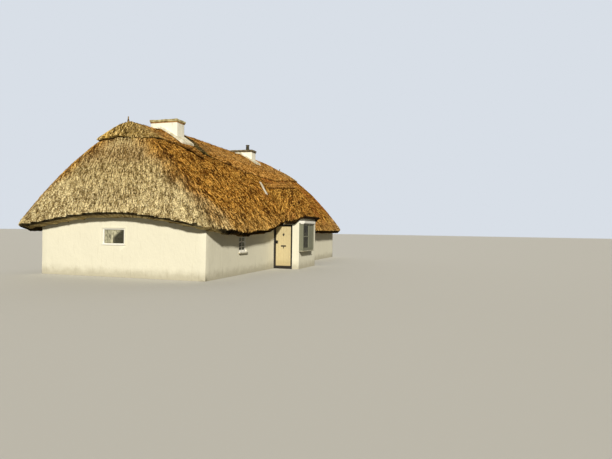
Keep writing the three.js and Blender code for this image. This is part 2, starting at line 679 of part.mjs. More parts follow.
// One hinge's pin with the two arms that carry it, fast to the frame.
function hingePin(height, axisY) {
  const pin = new THREE.CylinderGeometry(PIN_RADIUS, PIN_RADIUS, 2 * PIN_HALF, HINGE_SIDES);
  pin.rotateX(Math.PI / 2);
  pin.translate(HINGE_AXIS_X, axisY, height);
  const armFrom = KNUCKLE_HALF + 1;
  return [-1, 1].reduce((solid, side) => {
    const ends = [height + side * armFrom, height + side * PIN_HALF];
    const low = Math.min(...ends);
    const high = Math.max(...ends);
    const arm = blockBetween([HINGE_AXIS_X - 4, axisY - 5, low], [HINGE_AXIS_X + 30, axisY + 5, high]);
    const root = blockBetween([HINGE_AXIS_X + 6, axisY - 12, low], [HINGE_AXIS_X + 30, axisY + 5, high]);
    return solid.add(arm).add(root);
  }, solidOf(pin));
}

// One hinge's knuckle with the plate that holds it to the leaf.
function hingeKnuckle(height, axisY) {
  const profile = [
    [KNUCKLE_BORE, -KNUCKLE_HALF],
    [KNUCKLE_RADIUS, -KNUCKLE_HALF],
    [KNUCKLE_RADIUS, KNUCKLE_HALF],
    [KNUCKLE_BORE, KNUCKLE_HALF],
    [KNUCKLE_BORE, -KNUCKLE_HALF],
  ];
  const ring = new THREE.LatheGeometry(profile.map(([r, z]) => new THREE.Vector2(r, z)), HINGE_SIDES);
  ring.rotateX(Math.PI / 2);
  ring.translate(HINGE_AXIS_X, axisY, height);
  const plate = blockBetween(
    [HINGE_AXIS_X - 32, axisY - HINGE_AXIS_OFFSET - 1, height - KNUCKLE_HALF],
    [HINGE_AXIS_X - 5.5, axisY - 3, height + KNUCKLE_HALF],
  );
  return solidOf(ring).add(plate);
}

// Front door: a frame with its threshold, the leaf, and its ironmongery.
function buildDoor() {
  const gap = DOOR_SWING_GAP;
  const outer = PORCH_NEAR + DOOR_SETBACK;
  const inner = outer + DOOR_FRAME_DEPTH;
  const left = DOOR_INNER_EDGE - gap;
  const right = DOOR_OUTER_EDGE + gap;
  const top = DOOR_TOP + gap;
  const axisY = inner + HINGE_AXIS_OFFSET;
  const opening = blockBetween([left, outer - 1, DOOR_SILL], [right, inner + 1, top]);
  const frame = blockBetween([left - DOOR_FRAME, outer, 0], [right + DOOR_FRAME, inner, top + DOOR_FRAME]);
  const pins = HINGE_HEIGHTS.map((height) => hingePin(height, axisY));
  addSolid('door_frame', pins.reduce((solid, pin) => solid.add(pin), frame.subtract(opening)), BLACK_PAINT);
  const face = inner - DOOR_THICKNESS;
  const board = blockBetween([DOOR_INNER_EDGE, face, DOOR_SILL + gap], [DOOR_OUTER_EDGE, inner, DOOR_TOP]);
  const knuckles = HINGE_HEIGHTS.map((height) => hingeKnuckle(height, axisY));
  addSolid('door_leaf', knuckles.reduce((solid, knuckle) => solid.add(knuckle), board), CREAM_PAINT);
  const middle = (DOOR_INNER_EDGE + DOOR_OUTER_EDGE) / 2;
  const onFace = face - GAP;
  const plate = boxBetween(
    [middle - 125, onFace - 8, LETTERPLATE_HEIGHT - 32],
    [middle + 125, onFace, LETTERPLATE_HEIGHT + 32],
  );
  addPiece('door_letterplate', plate, IRON);
  const knocker = new THREE.TorusGeometry(42, 9, 8, 20);
  knocker.rotateX(Math.PI / 2);
  knocker.translate(middle, onFace - 9, KNOCKER_HEIGHT);
  addPiece('door_knocker', knocker, IRON);
  const knobProfile = [[0, 0], [22, 0], [22, 6], [9, 12], [9, 30], [26, 42], [26, 54], [14, 64], [0, 66]];
  const knob = new THREE.LatheGeometry(knobProfile.map(([r, z]) => new THREE.Vector2(r, z)), 16);
  knob.rotateZ(Math.PI);
  knob.translate(DOOR_INNER_EDGE + 70, onFace, KNOB_HEIGHT);
  addPiece('door_knob', knob, IRON);
}

// Box bay window on the porch's front wall: a box open at its back, over a hole in the wall.
function buildBay() {
  const half = BAY_WIDTH / 2 - GAP;
  const back = PORCH_FRONT + GAP;
  const front = PORCH_FRONT + BAY_PROJECTION;
  const low = BAY_SILL + GAP;
  const high = BAY_HEAD - GAP;
  const box = blockBetween([back, BAY_MIDDLE - half, low], [front, BAY_MIDDLE + half, high]);
  const hollow = blockBetween(
    [back - 1, BAY_MIDDLE - half + BAY_BAR, low + BAY_BAR],
    [front - BAY_BAR, BAY_MIDDLE + half - BAY_BAR, high - BAY_BAR],
  );
  const light = blockBetween(
    [front - 2 * BAY_BAR, BAY_MIDDLE - half + BAY_BAR, low + BAY_BAR],
    [front + 1, BAY_MIDDLE + half - BAY_BAR, high - BAY_BAR],
  );
  addSolid('bay_window_frame', box.subtract(hollow).subtract(light), GREY_PAINT);
  const pane = boxBetween(
    [front - BAY_BAR / 2 - GLASS, BAY_MIDDLE - half + BAY_BAR + GAP, low + BAY_BAR + GAP],
    [front - BAY_BAR / 2, BAY_MIDDLE + half - BAY_BAR - GAP, high - BAY_BAR - GAP],
  );
  addPiece('bay_window_glass', pane, WINDOW_GLASS);
  const cornice = boxBetween(
    [back, BAY_MIDDLE - half - BAY_CORNICE_SIDE, BAY_HEAD + GAP],
    [front + BAY_CORNICE_OUT, BAY_MIDDLE + half + BAY_CORNICE_SIDE, BAY_HEAD + BAY_CORNICE],
  );
  addPiece('bay_window_cornice', cornice, GREY_PAINT);
}

// Stack, slab cap and the cement fillet where the stack leaves the thatch.
function buildChimney(stack) {
  addSolid(`${stack.name}_stack`, stackBlock(stack, 0, FLOOR_TOP + GAP), LIMEWASH);
  const halfWidth = STACK_WIDTH / 2;
  const halfDepth = STACK_DEPTH / 2;
  const slabX = halfWidth + SLAB_OVERHANG;
  const slabY = halfDepth + SLAB_OVERHANG;
  const slab = boxBetween(
    [STACK_CENTRE_X - slabX, stack.y - slabY, stack.top + GAP],
    [STACK_CENTRE_X + slabX, stack.y + slabY, stack.top + SLAB_THICKNESS],
  );
  addPiece(`${stack.name}_cap`, slab, STONE);
  const reach = FILLET_WIDTH;
  const collar = blockBetween(
    [STACK_CENTRE_X - halfWidth - reach, stack.y - halfDepth - reach, FLOOR_TOP],
    [STACK_CENTRE_X + halfWidth + stack.frontReach, stack.y + halfDepth + reach, stack.top - 20],
  );
  const above = massUnder(thatchPoint, eaveStations, 0, -CAP_THICKNESS - FILLET_HEIGHT, SLOPE_LEVELS, 0);
  const below = massUnder(thatchPoint, eaveStations, 0, -CAP_THICKNESS - GAP, SLOPE_LEVELS, SKIRT);
  const fillet = collar.intersect(above).subtract(below).subtract(stackBlock(stack, GAP, FLOOR_TOP));
  addSolid(`${stack.name}_fillet`, fillet, CEMENT);
}

function buildPot() {
  const stack = STACKS[1];
  const outside = [[0, 0], [120, 0], [95, 60], [85, 260], [105, 270], [105, 300]];
  const flue = [[70, 300], [70, 200], [0, 200]];
  const profile = [...outside, ...flue];
  const pot = new THREE.LatheGeometry(profile.map(([r, z]) => new THREE.Vector2(r, z)), 16);
  pot.rotateX(Math.PI / 2);
  pot.translate(STACK_CENTRE_X + 250, stack.y, stack.top + SLAB_THICKNESS + GAP);
  addPiece('far_chimney_pot', pot, CLAY);
}

buildFloors();
buildHouseWalls();
buildPorchWalls();
buildMainThatch();
buildRidgeCap();
buildPorchThatch();
buildFinial('near_finial', -1);
buildFinial('far_finial', 1);
WINDOWS.forEach(buildWindow);
buildWindowSurround();
buildDoor();
buildBay();
STACKS.forEach(buildChimney);
buildPot();

export default cottage;
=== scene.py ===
"""Finishes and fine forms of a thatched cottage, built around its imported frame.

Lengths are metres in the frame of the part: Z up from the ground, +X out of the
porch's front wall, and Y along the house, away from the end that is seen whole.
"""

import logging
import math
from collections.abc import Callable, Iterator, Sequence
from contextlib import contextmanager
from dataclasses import dataclass
from enum import Enum

import bpy
import numpy as np
from mathutils import Euler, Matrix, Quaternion, Vector

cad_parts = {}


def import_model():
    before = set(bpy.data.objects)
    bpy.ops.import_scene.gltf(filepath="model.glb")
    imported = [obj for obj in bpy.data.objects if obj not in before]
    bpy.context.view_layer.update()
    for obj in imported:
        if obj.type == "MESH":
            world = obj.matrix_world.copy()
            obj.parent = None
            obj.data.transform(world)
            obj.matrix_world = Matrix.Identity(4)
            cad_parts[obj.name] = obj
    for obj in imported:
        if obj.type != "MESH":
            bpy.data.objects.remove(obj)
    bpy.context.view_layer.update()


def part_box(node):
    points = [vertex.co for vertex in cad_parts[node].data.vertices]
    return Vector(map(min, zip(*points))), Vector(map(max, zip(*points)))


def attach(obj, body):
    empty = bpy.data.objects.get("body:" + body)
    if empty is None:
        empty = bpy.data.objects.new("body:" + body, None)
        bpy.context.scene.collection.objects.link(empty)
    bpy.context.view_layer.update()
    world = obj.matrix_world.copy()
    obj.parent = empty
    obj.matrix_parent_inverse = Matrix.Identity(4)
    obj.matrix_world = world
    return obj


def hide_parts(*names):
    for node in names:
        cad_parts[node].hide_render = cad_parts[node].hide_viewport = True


LOG = logging.getLogger("cottage")
HOUSE = "house"
DOOR = "front_door"
MERGE_DISTANCE = 0.0001
RIDGE_REACH = 7.5
RIDGE_BEHIND = 0.28

Colour = tuple[float, float, float, float]
Point = tuple[float, float, float]
Shade = tuple[int, int, int]


def paint(red: int, green: int, blue: int) -> Colour:
    """Turns a colour as a screen shows it into the linear one that a shader takes.

    Args:
        red: Red, 0 to 255.
        green: Green, 0 to 255.
        blue: Blue, 0 to 255.

    Returns:
        The linear colour, opaque.
    """
    shares = (channel / 255 for channel in (red, green, blue))
    linear = (c / 12.92 if c <= 0.04045 else ((c + 0.055) / 1.055) ** 2.4 for c in shares)
    return (*linear, 1.0)


class Value:
    """A number that changes from place to place: one socket of a node graph."""

    def __init__(self, graph: "Graph", socket: bpy.types.NodeSocket) -> None:
        """Keeps the graph and the socket."""
        self.graph = graph
        self.socket = socket

    def math(self, operation: str, *operands: "Value | float") -> "Value":
        """Adds a Math node.

        Args:
            operation: The node's operation.
            *operands: Its inputs in order.

        Returns:
            The result.
        """
        node = self.graph.node("ShaderNodeMath", {"operation": operation}, dict(enumerate(operands)))
        return Value(self.graph, node.outputs[0])

    def __add__(self, other: "Value | float") -> "Value":
        """Sum."""
        return self.math("ADD", self, other)

    def __sub__(self, other: "Value | float") -> "Value":
        """Difference."""
        return self.math("SUBTRACT", self, other)

    def __mul__(self, other: "Value | float") -> "Value":
        """Product."""
        return self.math("MULTIPLY", self, other)

    def __radd__(self, other: float) -> "Value":
        """Sum with a plain number first."""
        return self.math("ADD", other, self)

    def __rsub__(self, other: float) -> "Value":
        """Difference with a plain number first."""
        return self.math("SUBTRACT", other, self)

    def __rmul__(self, other: float) -> "Value":
        """Product with a plain number first."""
        return self.math("MULTIPLY", other, self)

    def __abs__(self) -> "Value":
        """The number without its sign."""
        return self.math("ABSOLUTE", self)

    def least(self, other: "Value | float") -> "Value":
        """The smaller of two numbers."""
        return self.math("MINIMUM", self, other)

    def most(self, other: "Value | float") -> "Value":
        """The larger of two numbers."""
        return self.math("MAXIMUM", self, other)

    def step(self, low: float, high: float) -> "Value":
        """Rises smoothly from 0 to 1.

        Args:
            low: Where it is 0.
            high: Where it is 1; below `low`, it falls instead.

        Returns:
            The share, 0 to 1.
        """
        settings = {"interpolation_type": "SMOOTHSTEP"}
        inputs = {"Value": self, "From Min": min(low, high), "From Max": max(low, high)}
        rise = Value(self.graph, self.graph.node("ShaderNodeMapRange", settings, inputs).outputs[0])
        return 1.0 - rise if low > high else rise


Spot = tuple[Value, Value, Value]


class Graph:
    """The nodes of one material or of one geometry modifier."""

    def __init__(self, tree: bpy.types.NodeTree) -> None:
        """Empties the tree and keeps it."""
        self.tree = tree
        tree.nodes.clear()

    def node(self, kind: str, settings: dict | None = None, inputs: dict | None = None) -> bpy.types.Node:
        """Adds a node.

        Args:
            kind: Its type.
            settings: Its own properties, set first.
            inputs: A number, colour, vector, socket or Value for each named or numbered socket.

        Returns:
            The node.
        """
        made = self.tree.nodes.new(kind)
        for name, setting in (settings or {}).items():
            setattr(made, name, setting)
        for key, given in (inputs or {}).items():
            source = given.socket if isinstance(given, Value) else given
            if isinstance(source, bpy.types.NodeSocket):
                self.tree.links.new(source, made.inputs[key])
            else:
                made.inputs[key].default_value = source
        return made

    def place(self) -> bpy.types.NodeSocket:
        """The point on the piece, in the frame of the part."""
        return self.node("ShaderNodeTexCoord").outputs["Object"]

    def parts(self, vector: bpy.types.NodeSocket) -> Spot:
        """Splits a vector into its X, Y and Z."""
        outputs = self.node("ShaderNodeSeparateXYZ", None, {0: vector}).outputs
        return Value(self, outputs[0]), Value(self, outputs[1]), Value(self, outputs[2])

    def joined(self, x: Value | float, y: Value | float, z: Value | float) -> bpy.types.NodeSocket:
        """A vector made of three numbers."""
        return self.node("ShaderNodeCombineXYZ", None, {0: x, 1: y, 2: z}).outputs[0]

    def vector(self, operation: str, *operands: object) -> bpy.types.NodeSocket:
        """Adds a Vector Math node.

        Args:
            operation: The node's operation; SCALE takes its number as the second operand.
            *operands: Its inputs in order.

        Returns:
            The resulting vector.
        """
        inputs = dict(enumerate(operands))
        if operation == "SCALE":
            inputs["Scale"] = inputs.pop(1)
        return self.node("ShaderNodeVectorMath", {"operation": operation}, inputs).outputs["Vector"]

    def attribute(self, name: str) -> Value:
        """A number stored on the mesh."""
        return Value(self, self.node("ShaderNodeAttribute", {"attribute_name": name}).outputs["Fac"])

    def noise(self, size: float, detail: float = 2.0, stretch: Point = (1.0, 1.0, 1.0),
              place: bpy.types.NodeSocket | None = None) -> Value:
        """Cloudy noise.

        Args:
            size: The size of its clouds, in metres.
            detail: How many finer layers it has.
            stretch: How many times longer its clouds are along each axis.
            place: The point to read, or None for the point on the piece.

        Returns:
            The noise, about 0.5 on average.
        """
        factors = tuple(1.0 / (size * share) for share in stretch)
        scaled = self.vector("MULTIPLY", place or self.place(), factors)
        inputs = {"Vector": scaled, "Scale": 1.0, "Detail": detail, "Roughness": 0.6}
        return Value(self, self.node("ShaderNodeTexNoise", None, inputs).outputs[0])

    def blend(self, first: object, second: object, share: Value | float) -> bpy.types.NodeSocket:
        """Mixes two colours.

        Args:
            first: The colour where the share is 0.
            second: The colour where it is 1.
            share: The share.

        Returns:
            The mixed colour.
        """
        node = self.node("ShaderNodeMix", {"data_type": "RGBA"}, {0: share, 6: first, 7: second})
        return node.outputs[2]

    def ramp(self, tone: Value, *shades: Shade) -> bpy.types.NodeSocket:
        """Runs through three colours.

        Args:
            tone: Where to read, 0 to 1.
            *shades: The dark, the middle and the light colour, as a screen shows them.

        Returns:
            The colour.
        """
        dark, middle, light = (paint(*shade) for shade in shades)
        return self.blend(self.blend(dark, middle, tone.step(0.05, 0.55)), light, tone.step(0.5, 1.0))

    def shade(self, colour: object, amount: Value) -> bpy.types.NodeSocket:
        """Makes a colour lighter or darker by a factor."""
        plain = colour[:3] if isinstance(colour, tuple) else colour
        return self.vector("SCALE", plain, amount)

    def finish(self, colour: object, roughness: Value | float, relief: Value | None = None,
               depth: float = 0.01, **fixed: float) -> None:
        """Ends a material in its surface.

        Args:
            colour: The base colour.
            roughness: The roughness.
            relief: The height of the fine relief, 0 to 1, or None.
            depth: How deep the relief is, in metres.
            **fixed: Other sockets of the surface, with underscores for spaces.
        """
        inputs = {"Base Color": colour, "Roughness": roughness}
        inputs.update({name.replace("_", " "): setting for name, setting in fixed.items()})
        if relief is not None:
            bump = self.node("ShaderNodeBump", None, {"Height": relief, "Distance": depth, "Strength": 1.0})
            inputs["Normal"] = bump.outputs[0]
        surface = self.node("ShaderNodeBsdfPrincipled", None, inputs)
        self.node("ShaderNodeOutputMaterial", None, {"Surface": surface.outputs[0]})


@dataclass(frozen=True)
class Finish:
    """The finish of a surface.

    Attributes:
        name: The name of its material.
    """

    name: str

    def material(self) -> bpy.types.Material:
        """Makes the material, once, under a name that no CAD material has.

        Returns:
            The material.
        """
        name = f"{self.name}_finish"
        known = bpy.data.materials.get(name)
        if known is not None:
            return known
        made = bpy.data.materials.new(name)
        made.use_nodes = True
        self.compose(Graph(made.node_tree))
        return made

    def compose(self, graph: Graph) -> None:
        """Lays out the nodes of the material."""
        raise NotImplementedError


@dataclass(frozen=True)
class Limewash(Finish):
    """Lime on rough plaster, cleaner high up and stained near the ground.

    Attributes:
        coat: The colour of the lime.
        stain: The colour of the damp and the dirt.
        dirt: How strong the stains are.
        streaks: How strong the streaks under the rain are.
    """

    coat: Colour = paint(236, 229, 206)
    stain: Colour = paint(150, 140, 112)
    dirt: float = 0.5
    streaks: float = 0.15

    def compose(self, graph: Graph) -> None:
        """Lays out the nodes: broad patches, streaks, splash stains and a brushed relief.

        Args:
            graph: The graph.
        """
        height = graph.parts(graph.place())[2]
        patches = graph.noise(0.9, 3.0)
        brushed = graph.noise(0.05, 4.0, (1.0, 1.0, 2.5))
        runs = graph.noise(0.09, 3.0, (1.0, 1.0, 9.0)).step(0.56, 0.74) * self.streaks
        splash = (height + graph.noise(0.3, 3.0) * 0.35).step(0.62, 0.2) * self.dirt
        tone = graph.shade(self.coat, 0.93 + patches * 0.1 + brushed * 0.04)
        colour = graph.blend(tone, self.stain, (runs + splash).least(1.0))
        relief = brushed * 0.5 + graph.noise(0.18, 3.0) * 0.8
        graph.finish(colour, 0.9, relief, 0.012)


@dataclass(frozen=True)
class Stone(Finish):
    """Weathered stone, mortar, fired clay or hazel.

    Attributes:
        light: Its colour where it is worn clean.
        dark: Its colour where it is weathered.
        grain: The size of its spots, in metres.
        lichen: The colour of what grows on it.
        growth: How much of it is grown over.
    """

    light: Colour = paint(196, 188, 158)
    dark: Colour = paint(122, 110, 84)
    grain: float = 0.06
    lichen: Colour = paint(196, 150, 70)
    growth: float = 0.3

    def compose(self, graph: Graph) -> None:
        """Lays out the nodes: spots, fine grain and lichen.

        Args:
            graph: The graph.
        """
        spots = graph.noise(self.grain * 3, 4.0)
        grain = graph.noise(self.grain * 0.4, 3.0)
        aside = graph.vector("ADD", graph.place(), (3.1, 7.7, 1.3))
        grown = graph.noise(self.grain * 4, 5.0, place=aside)
        base = graph.blend(self.dark, self.light, spots.step(0.38, 0.6))
        colour = graph.blend(base, self.lichen, grown.step(0.56, 0.64) * self.growth)
        graph.finish(colour, 0.85 + grain * 0.1, spots * 0.6 + grain * 0.5, 0.01)


@dataclass(frozen=True)
class Paintwork(Finish):
    """Oil paint on wood, with faint grain and a soft gloss.

    Attributes:
        tint: The colour of the paint.
        worn: The colour where it is dirty or thin.
        gloss: The roughness of the paint.
    """

    tint: Colour = paint(210, 205, 190)
    worn: Colour = paint(140, 130, 105)
    gloss: float = 0.4

    def compose(self, graph: Graph) -> None:
        """Lays out the nodes: grain along the height, smudges and a rising dirt line.

        Args:
            graph: The graph.
        """
        grain = graph.noise(0.012, 3.0, (1.0, 1.0, 14.0))
        smudges = graph.noise(0.22, 4.0)
        low = graph.parts(graph.place())[2].step(0.55, 0.15)
        dirt = (smudges.step(0.55, 0.8) * 0.35 + low * 0.35).least(1.0)
        colour = graph.blend(graph.shade(self.tint, 0.94 + grain * 0.12), self.worn, dirt)
        graph.finish(colour, self.gloss + smudges * 0.2, grain, 0.0015)


@dataclass(frozen=True)
class Iron(Finish):
    """Painted iron fittings."""

    def compose(self, graph: Graph) -> None:
        """Lays out the nodes: black paint, rubbed to brown in spots.

        Args:
            graph: The graph.
        """
        spots = graph.noise(0.02, 4.0)
        colour = graph.blend(paint(18, 17, 17), paint(56, 42, 32), spots.step(0.56, 0.74) * 0.6)
        graph.finish(colour, 0.5 + spots * 0.2, spots, 0.001)


@dataclass(frozen=True)
class WindowGlass(Finish):
    """Old glass showing the painted shade of an unlit interior, with a pale blind that shows in blotches.

    Attributes:
        painted_room_shade: The dark colour of the glass, painted shade of the unlit interior behind it.
        blind: The colour of what shows faintly.
        shown: How strongly it shows.
        drawn: Whether a lace curtain is drawn half across it.
    """

    painted_room_shade: Colour = paint(30, 30, 22)
    blind: Colour = paint(150, 152, 130)
    shown: float = 0.35
    drawn: bool = False

    def compose(self, graph: Graph) -> None:
        """Lays out the nodes: blotches or lace behind a glossy, slightly wavy face.

        Args:
            graph: The graph.
        """
        dust = graph.noise(0.06, 4.0)
        shown = self.lace(graph) if self.drawn else graph.noise(0.26, 2.0).step(0.42, 0.62) * self.shown
        # The glass's base colour is the painted shade of the unlit interior behind it.
        colour = graph.blend(self.painted_room_shade, self.blind, shown + dust * 0.12)
        graph.finish(colour, 0.08 + dust * 0.12, graph.noise(0.35, 1.0), 0.01, Specular_IOR_Level=0.5)

    def lace(self, graph: Graph) -> Value:
        """The curtain of the near end window, gathered to one side, and the hem across its clear half.

        Args:
            graph: The graph.

        Returns:
            How strongly it shows.
        """
        x, _, z = graph.parts(graph.place())
        folds = graph.noise(0.06, 3.0, (1.0, 1.0, 2.0))
        edge = x - (z - 1.45).most(0.0) * 1.25 + (folds - 0.5) * 0.35
        cloth = (edge.step(-0.22, -0.36) * (folds.step(0.3, 0.7) * 0.62 + 0.13)).least(1.0)
        hem = (abs(x + 0.35) + (folds - 0.5) * 0.05).step(0.035, 0.012) * z.step(1.62, 1.5)
        # The curtain fades to that dark within a few centimetres of the glass edges: painted shade in the
        # frame's recess.
        low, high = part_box("near_end_window_glass")
        inside = (x - low.x).least(high.x - x).least(z - low.z).least(high.z - z)
        return cloth.most(hem) * inside.step(0.018, 0.036)


@dataclass(frozen=True)
class Thatch(Finish):
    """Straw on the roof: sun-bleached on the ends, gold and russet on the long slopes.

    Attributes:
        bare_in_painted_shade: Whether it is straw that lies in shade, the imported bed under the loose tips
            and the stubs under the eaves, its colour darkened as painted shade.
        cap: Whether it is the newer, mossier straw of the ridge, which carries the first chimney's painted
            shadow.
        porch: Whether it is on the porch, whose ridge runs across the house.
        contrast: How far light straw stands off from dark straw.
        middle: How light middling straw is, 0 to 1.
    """

    bare_in_painted_shade: bool = False
    cap: bool = False
    porch: bool = False
    contrast: float = 1.7
    middle: float = 0.46

    def compose(self, graph: Graph) -> None:
        """Lays out the nodes: dark to light by straw, each colour by the part of the roof.

        Args:
            graph: The graph.
        """
        spot = graph.parts(graph.place())
        fine = graph.noise(0.045, 2.0, (1.0, 1.0, 3.0))
        patch = graph.noise(0.5, 3.0, (1.0, 1.0, 1.6))
        single = fine if self.bare_in_painted_shade else graph.attribute("straw_tone")
        tone = single * 0.64 + self.streaks(graph, spot).step(0.3, 0.7) * 0.36 + (patch - 0.5) * 0.4
        tone = ((tone - 0.5) * self.contrast + self.middle).most(0.0).least(1.0)
        colour = self.ridge(graph, tone, spot) if self.cap else self.slopes(graph, tone, spot)
        # Bare straw is darkened to 0.34-0.5 as painted shade between the loose tips; under the eaves it is
        # lifted again, with a painted shadow line at the rim.
        if self.bare_in_painted_shade:
            colour = graph.shade(colour, (0.34 + patch * 0.16) * self.butt_painted_shade(spot))
        graph.finish(colour, 0.95, fine if self.bare_in_painted_shade else None, 0.02, Specular_IOR_Level=0.15)

    def streaks(self, graph: Graph, spot: Spot) -> Value:
        """Light and dark streaks down the fall of the roof, round its corners too.

        Args:
            graph: The graph.
            spot: The point on the roof.

        Returns:
            The streaks, about 0.5 on average.
        """
        x, y, z = spot
        ridge = x.least(3.8) if self.porch else y.most(-RIDGE_REACH).least(RIDGE_REACH)
        off = (y + 1.05, x - ridge) if self.porch else (y - ridge, x + RIDGE_BEHIND)
        across = ridge + off[0].math("ARCTAN2", *off) * (1.0 if self.porch else 3.0)
        return graph.noise(0.08, 3.0, place=graph.joined(across, z * 0.32, x * 0.05))

    def slopes(self, graph: Graph, tone: Value, spot: Spot) -> bpy.types.NodeSocket:
        """The colour of the open slopes.

        Args:
            graph: The graph.
            tone: How light the straw is, 0 to 1.
            spot: The point on the roof.

        Returns:
            The colour.
        """
        x, y, z = spot
        wander = graph.noise(1.0, 4.0) - 0.5
        along = abs(y) * -0.25 + 2.28
        front = (x - 1.3) * 0.86 + (z - 4.3) + along
        back = (x + 1.55) * -0.86 + (z - 4.3) + along
        side = (front.most(back) + wander * 1.3).step(-0.3, 0.7)
        low = (z + wander * 0.9).step(2.9, 1.7)
        pale = (z + wander * 0.8).step(4.3, 2.6) * 0.5
        band = (abs(z - 4.6) + wander * 0.6).step(0.6, 0.1) * 0.5
        russet = (graph.noise(1.6, 3.0) + (y.least(-1.0) + 2.0) * 0.04).step(0.48, 0.62)
        deep = ((tone - 0.5) * 1.3 + 0.41).most(0.0).least(1.0)
        end_straw = graph.ramp(tone, (60, 42, 18), (152, 127, 76), (236, 218, 164))
        pale_straw = graph.ramp(tone, (84, 66, 38), (186, 166, 116), (250, 238, 196))
        gold_straw = graph.ramp(deep, (54, 27, 3), (150, 97, 28), (236, 186, 90))
        russet_straw = graph.ramp(deep, (48, 20, 2), (138, 80, 24), (218, 154, 74))
        low_straw = graph.ramp(tone, (60, 38, 10), (168, 130, 62), (238, 204, 130))
        dull_straw = graph.ramp(tone, (50, 32, 14), (132, 98, 54), (208, 176, 120))
        end = graph.blend(graph.blend(end_straw, dull_straw, band), pale_straw, pale)
        long = graph.blend(gold_straw, russet_straw, russet)
        return graph.blend(graph.blend(end, long, side), low_straw, low * side * 0.6)

    def ridge(self, graph: Graph, tone: Value, spot: Spot) -> bpy.types.NodeSocket:
        """The colour of the ridge: golden, with moss and the first chimney's painted shadow in a dark streak
        behind it, and a fresh patch.

        Args:
            graph: The graph.
            tone: How light the straw is, 0 to 1.
            spot: The point on the roof.

        Returns:
            The colour.
        """
        x, y, z = spot
        wander = graph.noise(0.4, 4.0) - 0.5
        end_straw = graph.ramp(tone, (60, 44, 14), (164, 133, 66), (238, 210, 142))
        side_straw = graph.ramp(tone, (58, 30, 6), (164, 112, 42), (242, 192, 108))
        moss = graph.ramp(tone, (16, 14, 4), (58, 50, 22), (112, 100, 54))
        fresh = graph.ramp(tone, (120, 88, 28), (204, 162, 70), (240, 208, 120))
        base = graph.blend(end_straw, side_straw, (abs(y) + wander).step(8.3, 7.2))
        # A dark streak just behind the first chimney: the chimney's painted shadow, mixed with moss; the moss
        # colour paints both.
        chimney_shadow_moss_streak = (abs(y + 5.15 + (x - 0.8) * 0.25) + wander * 0.3).step(0.5, 0.24) * x.step(-0.1, 0.15)
        moss_and_chimney_shadow = (chimney_shadow_moss_streak + graph.noise(0.7, 4.0).step(0.54, 0.72) * 0.4).least(1.0)
        patch = (abs(x + 0.85) + abs(y + 8.6) * 0.6 + abs(z - 5.24) + wander * 0.3).step(0.42, 0.22)
        return graph.blend(graph.blend(base, moss, moss_and_chimney_shadow), fresh, patch * x.step(2.0, 1.0) * 0.7)

    def butt_painted_shade(self, spot: Spot) -> Value:
        """Painted shade on the cut under-edge of the eaves: lifted out of the bed's painted shade, with a
        painted shadow line darkening its outer rim.

        Args:
            spot: The point on the roof.

        Returns:
            A factor: 1 away from the eaves, up to 2.9 under them and 0.3 at the rim.
        """
        x, y, z = spot
        beyond = (abs(x) - 3.6).most(abs(y) - 9.05)
        under = beyond.step(0.0, 0.1) * z.step(2.9, 2.6)
        return 1.0 + under * (1.9 - beyond.step(0.3, 0.44) * 2.6)


@dataclass(frozen=True)
class Backdrop(Finish):
    """The plain pale floor, which throws back less light than it shows.

    Attributes:
        shown: Its colour to the eye.
        thrown: Its colour for the light that it throws onto the walls.
    """

    shown: Colour = paint(204, 203, 198)
    thrown: Colour = paint(118, 116, 104)

    def compose(self, graph: Graph) -> None:
        """Lays out the nodes."""
        seen = graph.node("ShaderNodeLightPath").outputs["Is Camera Ray"]
        graph.finish(graph.blend(self.thrown, self.shown, Value(graph, seen)), 0.9)


